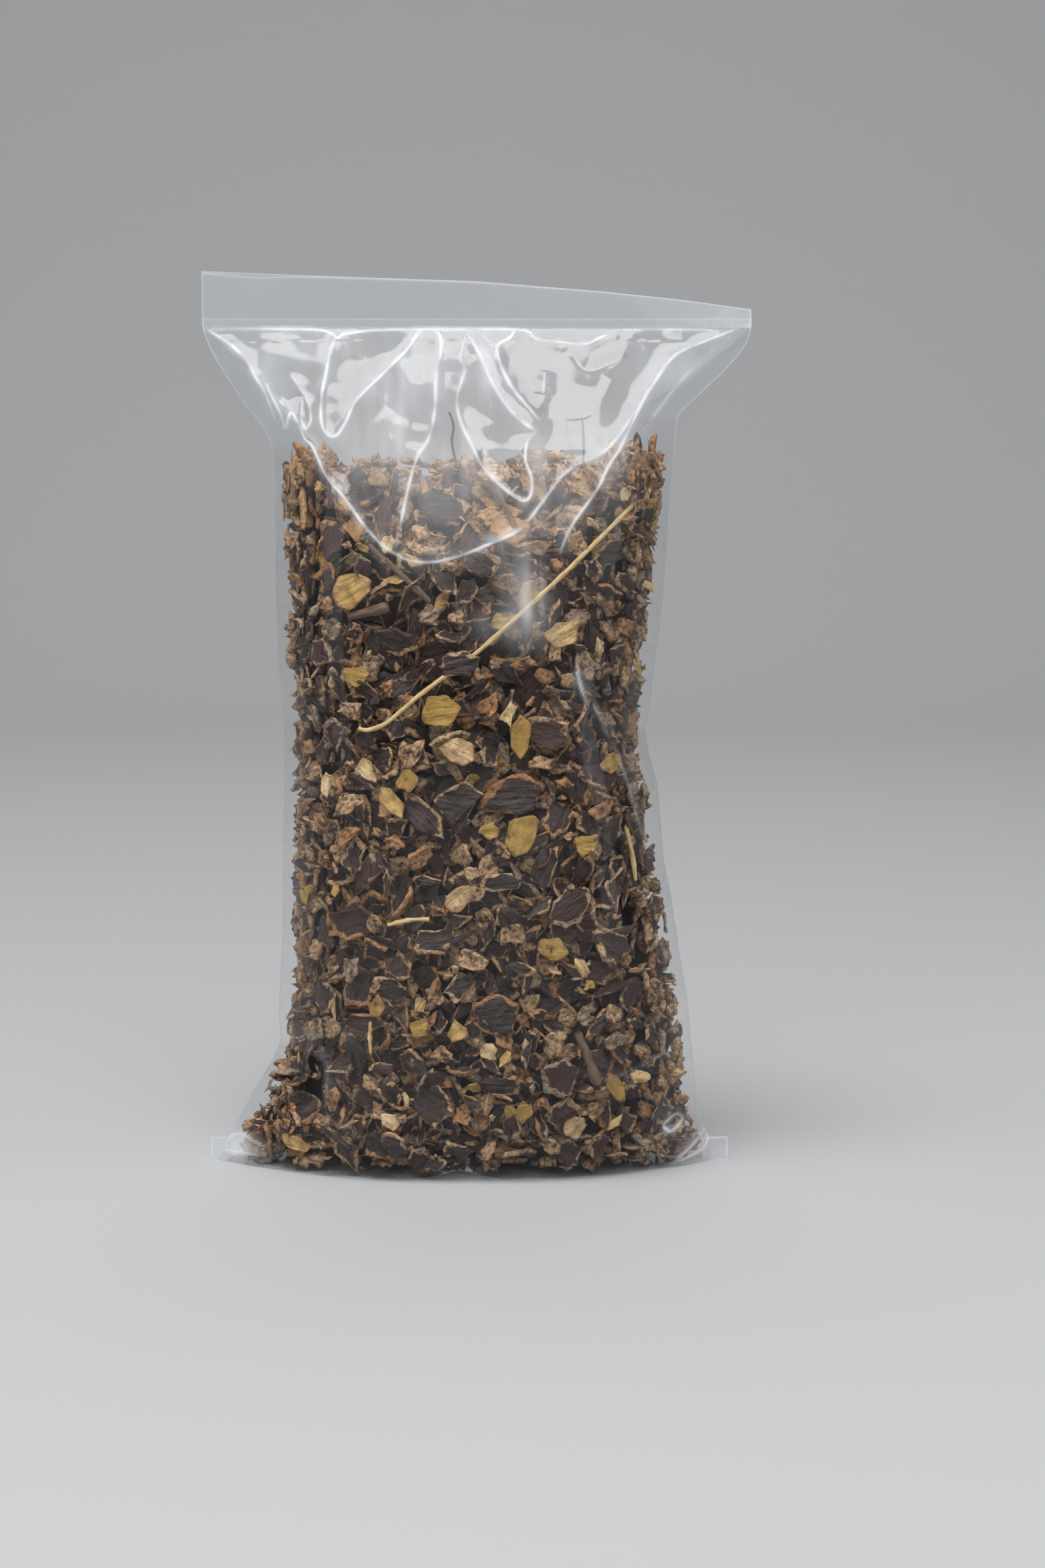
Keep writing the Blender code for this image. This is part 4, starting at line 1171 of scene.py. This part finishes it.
def build_core(material):
    """A near-black body in the middle of the heap: painted shade, seen only in the gaps between the
    pieces.
    """
    levels = np.linspace(4.0, FILL_TOP - CORE_BACKSET, CORE_RINGS)
    turn = np.linspace(0, math.tau, CORE_COLUMNS, endpoint=False)
    rings = []
    for z in levels:
        middle, half_width = span_at(z)
        x = middle + (half_width - CORE_SIDE_BACKSET - 1.0) * np.cos(turn)
        level = np.full(x.shape, z)
        depth = swell(x, level, CORE_BACKSET, CORE_SIDE_BACKSET)
        rings.append(np.stack([x, np.sign(np.sin(turn)) * np.maximum(depth, 0.6), level], -1))
    points = np.array(rings)
    bump = waves(points[..., 0] + points[..., 1], points[..., 2], 9.0, 77)
    points[..., 1] *= 1 + 0.05 * bump
    obj = link_mesh("kibble_shade_core", points.reshape(-1, 3), tube_faces(CORE_RINGS, CORE_COLUMNS))
    finish_piece(obj, material, "husk", "pod_kibble")


# The pale flakes and the stalks that have solids of their own

def node_points(name):
    """A solid's corner points, in mm."""
    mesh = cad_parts[name].data
    points = np.empty(len(mesh.vertices) * 3)
    mesh.vertices.foreach_get("co", points)
    return points.reshape(-1, 3) / MM


# How finely a flake is meshed: rings on each face, and points round its rim.
FLAKE_RINGS, FLAKE_COUNT = 8, 44


def build_flake(name, rng, material):
    """A thin torn flake, fitted to its solid's middle, directions and size."""
    solid = np.unique(np.round(node_points(name), 3), axis=0)
    middle = (solid.max(0) + solid.min(0)) / 2
    _, _, axes = np.linalg.svd(solid - solid.mean(0), full_matrices=False)
    spread = (solid - middle) @ axes.T
    length, width, _ = np.ptp(spread, axis=0)
    if axes[2, 1] > 0:
        axes[2] *= -1
    axes[1] = np.cross(axes[2], axes[0])
    count = FLAKE_COUNT
    turn = np.linspace(0, math.tau, count, endpoint=False)
    outline = broken_outline(rng, count, length, width, int(rng.integers(5, 8)), 0.16)
    outline = 1.02 * evened(outline)
    outline += 0.10 * np.stack([np.sin(6 * turn), np.cos(5 * turn)], 1)
    fold, lift, phase = rng.uniform(0, math.pi), rng.uniform(0.15, 0.4), rng.uniform(0, 6, 3)
    tone, brown = rng.uniform(0, 1), rng.uniform(0.0, 0.42)
    rings = np.linspace(0, 1, FLAKE_RINGS + 1)
    sides = []
    for side in (1, -1):
        for r in rings:
            a, b = r * outline.T
            across = a * math.sin(fold) + b * math.cos(fold)
            c = lift * np.abs(across) / max(width / 2, 1) + 0.10 * np.sin(a * 1.7 + phase[0])
            c += 0.12 * np.sin(b * 2.1 + phase[1]) + 0.25 * lift * r ** 3 * np.sin(3 * turn + phase[2])
            sides.append(np.stack([a, b, c - lift / 2 + side * 0.13 * (1 - 0.6 * r)], -1))
    local = np.vstack(sides)
    top = band_faces(len(rings), count)[:, [0, 3, 2, 1]]
    size = len(rings) * count
    edge, after = top[-count:, 1], top[-count:, 2]
    rim = np.stack([edge, edge + size, after + size, after], 1)
    faces = np.vstack([top, top[:, ::-1] + size, rim])
    piece = np.tile([brown, tone, 1.0, 1.0], (len(local), 1))
    reach = np.tile(np.repeat(rings, count), 2)
    piece[:, 0] = np.clip(brown + 0.55 * reach ** 7, 0, 1)
    grain = np.column_stack([local + rng.uniform(-300, 300, 3), np.ones(len(local))])
    obj = link_mesh(name + "_fine", middle + local @ axes, faces, [("piece", piece), ("grain", grain)])
    finish_piece(obj, material, "flake", name)


# A stalk runs behind the pieces where it lies deeper than this.
HIDDEN_DEPTH = 1.56
# The stalks' runs, as in the solids: radius, colour, and (x, height, depth below the film).
STALKS = {
    "long_straw": (0.62, "straw", [
        (38.4, 159.6, 2.4), (29.5, 152.3, 1.8), (20.0, 143.9, 1.5), (10.0, 135.0, 1.3),
        (0.6, 126.7, 1.5), (-4.2, 122.9, 2.4), (-8.6, 119.9, 1.5), (-14.0, 115.8, 1.3),
        (-21.0, 110.0, 1.3), (-25.6, 108.2, 1.3), (-28.0, 108.4, 1.5)]),
    "stalk_upper_left": (0.8, "twig", [
        (-25.5, 151.4, 2.4), (-18.0, 144.9, 2.0), (-10.6, 138.0, 1.7)]),
    "stalk_upper_middle": (0.65, "twig", [
        (4.5, 165.0, 1.7), (7.0, 160.0, 1.6), (9.6, 154.4, 1.7)]),
    "twig_left": (1.2, "twig", [
        (-31.5, 134.4, 3.6), (-26.0, 135.6, 3.3), (-20.7, 136.9, 2.2)]),
    "twig_low_right": (1.2, "twig", [
        (24.2, 36.4, 2.2), (26.9, 29.9, 2.1), (29.4, 23.4, 2.2)]),
    "straw_low_left": (0.45, "straw", [
        (-25.4, 39.0, 1.1), (-25.6, 35.0, 1.1), (-25.4, 31.2, 1.1)]),
    "straw_middle_left": (0.55, "straw", [
        (-21.0, 62.3, 1.2), (-16.0, 63.6, 1.2), (-11.0, 63.9, 1.2)]),
    "straw_right": (0.6, "straw", [
        (36.4, 83.8, 1.3), (37.9, 77.6, 1.3), (38.8, 71.0, 1.3)]),
}
# Hair-thin stalks that stand up from the fill.
THIN_STALKS = {
    "thin_stalk_left": (0.32, "twig", [
        (-5.0, 171.0, 4.0), (-6.0, 176.0, 3.2), (-5.6, 179.6, 3.0), (-6.6, 182.6, 2.6)]),
    "thin_stalk_right": (0.32, "twig", [
        (24.9, 170.5, 4.0), (25.1, 176.0, 3.0), (24.8, 181.2, 2.5)]),
    "thin_stalk_cross": (0.26, "twig", [
        (21.2, 180.9, 2.6), (24.8, 181.1, 2.5), (26.9, 181.9, 2.6)]),
}
# Points round a stalk, and stations between two places of its run.
STALK_COUNT = 14
STALK_STATIONS = 10


def build_stalk(name, radius, colour, run, rng, materials, *nodes):
    """A dry stem along its run, with uneven thickness and a swollen node or two."""
    path = []
    for x, z, depth in rounded_path(run, STALK_STATIONS):
        point, outward, _, _ = wall_point(x, z, -1)
        path.append(point - outward * depth)
    path = np.array(path)
    along = np.gradient(path, axis=0)
    along /= np.linalg.norm(along, axis=1)[:, None]
    side = np.cross(along, [0, 1.0, 0])
    side /= np.linalg.norm(side, axis=1)[:, None]
    other = np.cross(along, side)
    run_length = np.concatenate([[0], np.cumsum(np.linalg.norm(np.diff(path, axis=0), axis=1))])
    count = STALK_COUNT
    turn = np.linspace(0, math.tau, count, endpoint=False)
    thick = radius * (0.84 + 0.06 * np.sin(run_length * 0.9 + rng.uniform(0, 6)))
    for node in rng.uniform(0.15, 0.9, 2) * run_length[-1]:
        thick = thick + radius * 0.28 * np.exp(-((run_length - node) / (radius * 0.9)) ** 2)
    thick[0] *= 0.8
    thick[-1] *= 0.7
    flute = 1 + 0.07 * np.sin(5 * turn)[None] + rng.normal(0, 0.025, (len(path), count))
    ring = (thick[:, None] * flute)[..., None]
    points = path[:, None] + ring * (side[:, None] * np.cos(turn)[None, :, None]
                                     + other[:, None] * np.sin(turn)[None, :, None])
    grain = np.zeros((len(path), count, 4))
    grain[..., 0] = run_length[:, None]
    grain[..., 1] = (turn * radius)[None]
    obj = link_mesh(name, points.reshape(-1, 3), tube_faces(len(path), count),
                    [("grain", grain.reshape(-1, 4))])
    finish_piece(obj, materials[colour], colour, *nodes)


# The most triangles in one piece of the heap.
MOST_TRIANGLES = 190000
# How deep the room kept for a flake goes, and its radius as a share of the flake's longer side.
FLAKE_ROOM_DEPTH, FLAKE_ROOM_SHARE = 1.6, 0.34


def build_flakes(bed, rng, material):
    """The pale flakes, each with its room in the bed kept free of other pieces."""
    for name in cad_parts:
        if name.startswith("flake_"):
            solid = node_points(name)
            x, _, z = (solid.max(0) + solid.min(0)) / 2
            wide, _, high = np.ptp(solid, axis=0)
            radius = FLAKE_ROOM_SHARE * max(wide, high)
            bed.reserve((arc_from_middle(x, z), z), radius, FLAKE_ROOM_DEPTH)
            build_flake(name, rng, material)


def build_stalks(bed, rng, materials):
    """The stalks, with room in the bed kept free where they show."""
    for name, (radius, colour, run) in THIN_STALKS.items():
        build_stalk(name, radius, colour, run, rng, materials)
    for name, (radius, colour, run) in STALKS.items():
        build_stalk(name + "_fine", radius, colour, run, rng, materials, name)
        for x, z, depth in rounded_path(run, STALK_STATIONS):
            if depth < HIDDEN_DEPTH:
                bed.reserve((arc_from_middle(x, z), z), radius + 0.5, depth + radius)


def build_fill(pod, stalks):
    """The heap of pod pieces behind the film, with its pale flakes and stalks."""
    rng = np.random.default_rng(SEED)
    front = wall_bed(-1)
    front.fine_depth = FRONT_FINE_DEPTH
    build_flakes(front, rng, pod)
    build_stalks(front, rng, stalks)
    pile = Pile()
    lay_shown_plates(pile, front, rng)
    # Each bed, the mean depth it is covered to, and its pieces' steepest tilt in degrees.
    beds = [
        (front, 6.2, 70.0), (wall_bed(1), 4.6, 70.0),
        (side_bed(-1), 4.8, 30.0), (side_bed(1), 4.8, 30.0),
        (flat_bed(FILL_TOP, 1.0, 4.0), 4.6, 60.0), (flat_bed(1.0, -1.0, 3.0), 2.0, 25.0),
    ]
    for bed, depth, steepest in beds:
        fill_bed(pile, bed, rng, depth, steepest)
    pile.settle()
    pile.build("kibble", pod, MOST_TRIANGLES, "pod_kibble")
    build_core(shade_core_material())


# Room, lights and camera

WORLD_COLOUR = (0.86, 0.92, 1.0, 1)
WORLD_STRENGTH = 0.18
# The floor is as bright as the world where it lies further than this from the object, in metres.
GLOW_FROM, GLOW_TO = 0.9, 2.3
FLOOR_GLOW = 0.11
FLOOR_COLOUR = (0.42, 0.425, 0.43, 1)
# The floor's reach, where and how tightly it curves up, and the wall's height, in metres.
FLOOR_REACH, CURVE_FROM, CURVE_RADIUS, WALL_HEIGHT = 4.0, 0.9, 0.5, 3.0
# The lights: place, the height each is aimed at, its size, its power and its colour.
WHITE, COOL = (1, 1, 1), (0.95, 0.97, 1)
LIGHTS = {
    "key": ((-0.18, -0.42, 1.28), 0.12, (0.8, 0.5), 13.0, WHITE),
    "softbox": ((0.0, -1.0, 1.0), 0.12, (1.7, 1.1), 12.0, WHITE),
    "back_light": ((0.0, 0.95, 1.1), 0.12, (1.2, 0.7), 4.0, WHITE),
    "left_strip": ((-1.0, -0.35, 0.55), 0.11, (0.5, 1.2), 1.8, COOL),
    "right_strip": ((1.0, -0.30, 0.55), 0.11, (0.5, 1.2), 1.8, COOL),
}


def floor_material():
    """Pale floor that fades into the world's light far to the front and the sides."""
    n = Nodes("pale_floor")
    place = n.add("SeparateXYZ", {0: n.add("TexCoord").outputs["Object"]})
    sideways = n.math("ABSOLUTE", place.outputs["X"])
    forward = n.math("MULTIPLY", place.outputs["Y"], -1.0)
    glow = n.ramp(n.math("MAXIMUM", sideways, forward), GLOW_FROM, GLOW_TO, FLOOR_GLOW)
    return n.finished(n.shader("Principled", Base_Color=FLOOR_COLOUR, Roughness=0.9,
                               Emission_Color=WORLD_COLOUR, Emission_Strength=glow))


def build_room():
    turn = np.linspace(0, math.pi / 2, 16)
    depth = np.concatenate([[-FLOOR_REACH], CURVE_FROM + CURVE_RADIUS * np.sin(turn),
                            [CURVE_FROM + CURVE_RADIUS]])
    height = np.concatenate([[0.0], CURVE_RADIUS * (1 - np.cos(turn)), [WALL_HEIGHT]])
    points = [(x, y, z) for y, z in zip(depth, height) for x in (-FLOOR_REACH, FLOOR_REACH)]
    obj = link_mesh("room", np.array(points) / MM, grid_faces(len(depth), 2))
    obj.data.materials.append(floor_material())
    world = bpy.data.worlds.new("room_light")
    world.use_nodes = True
    background = world.node_tree.nodes["Background"]
    background.inputs["Color"].default_value = WORLD_COLOUR
    background.inputs["Strength"].default_value = WORLD_STRENGTH
    bpy.context.scene.world = world


def build_lights():
    for name, (place, aim_height, size, power, colour) in LIGHTS.items():
        light = bpy.data.lights.new(name, "AREA")
        light.shape = "RECTANGLE"
        light.size, light.size_y = size
        light.energy = power
        light.color = colour
        obj = add_object(name, light)
        obj.location = place
        toward = np.array([0, 0, aim_height]) - place
        obj.rotation_euler = Vector(toward).to_track_quat("-Z", "Y").to_euler()


def build_camera():
    camera = bpy.data.cameras.new("camera")
    camera.lens = CAMERA_LENS
    camera.sensor_width = 36.0
    camera.clip_start = 0.02
    obj = add_object("camera", camera)
    back = np.array([0, -math.cos(CAMERA_ELEVATION), math.sin(CAMERA_ELEVATION)])
    obj.location = np.array(CAMERA_AIM) + back * CAMERA_DISTANCE
    obj.rotation_euler = (math.pi / 2 - CAMERA_ELEVATION, 0, 0)
    bpy.context.scene.camera = obj


build_camera()
build_room()
build_lights()
build_film(film_material())
build_fill(pod_material(), {"straw": stalk_material("dry_straw", "e4c88e", "b18e55", 0.5),
                            "twig": stalk_material("dry_twig", "7d6550", "4a382c", 0.75)})
bpy.context.scene.view_settings.view_transform = "Standard"
bpy.context.scene.cycles.transparent_max_bounces = 24
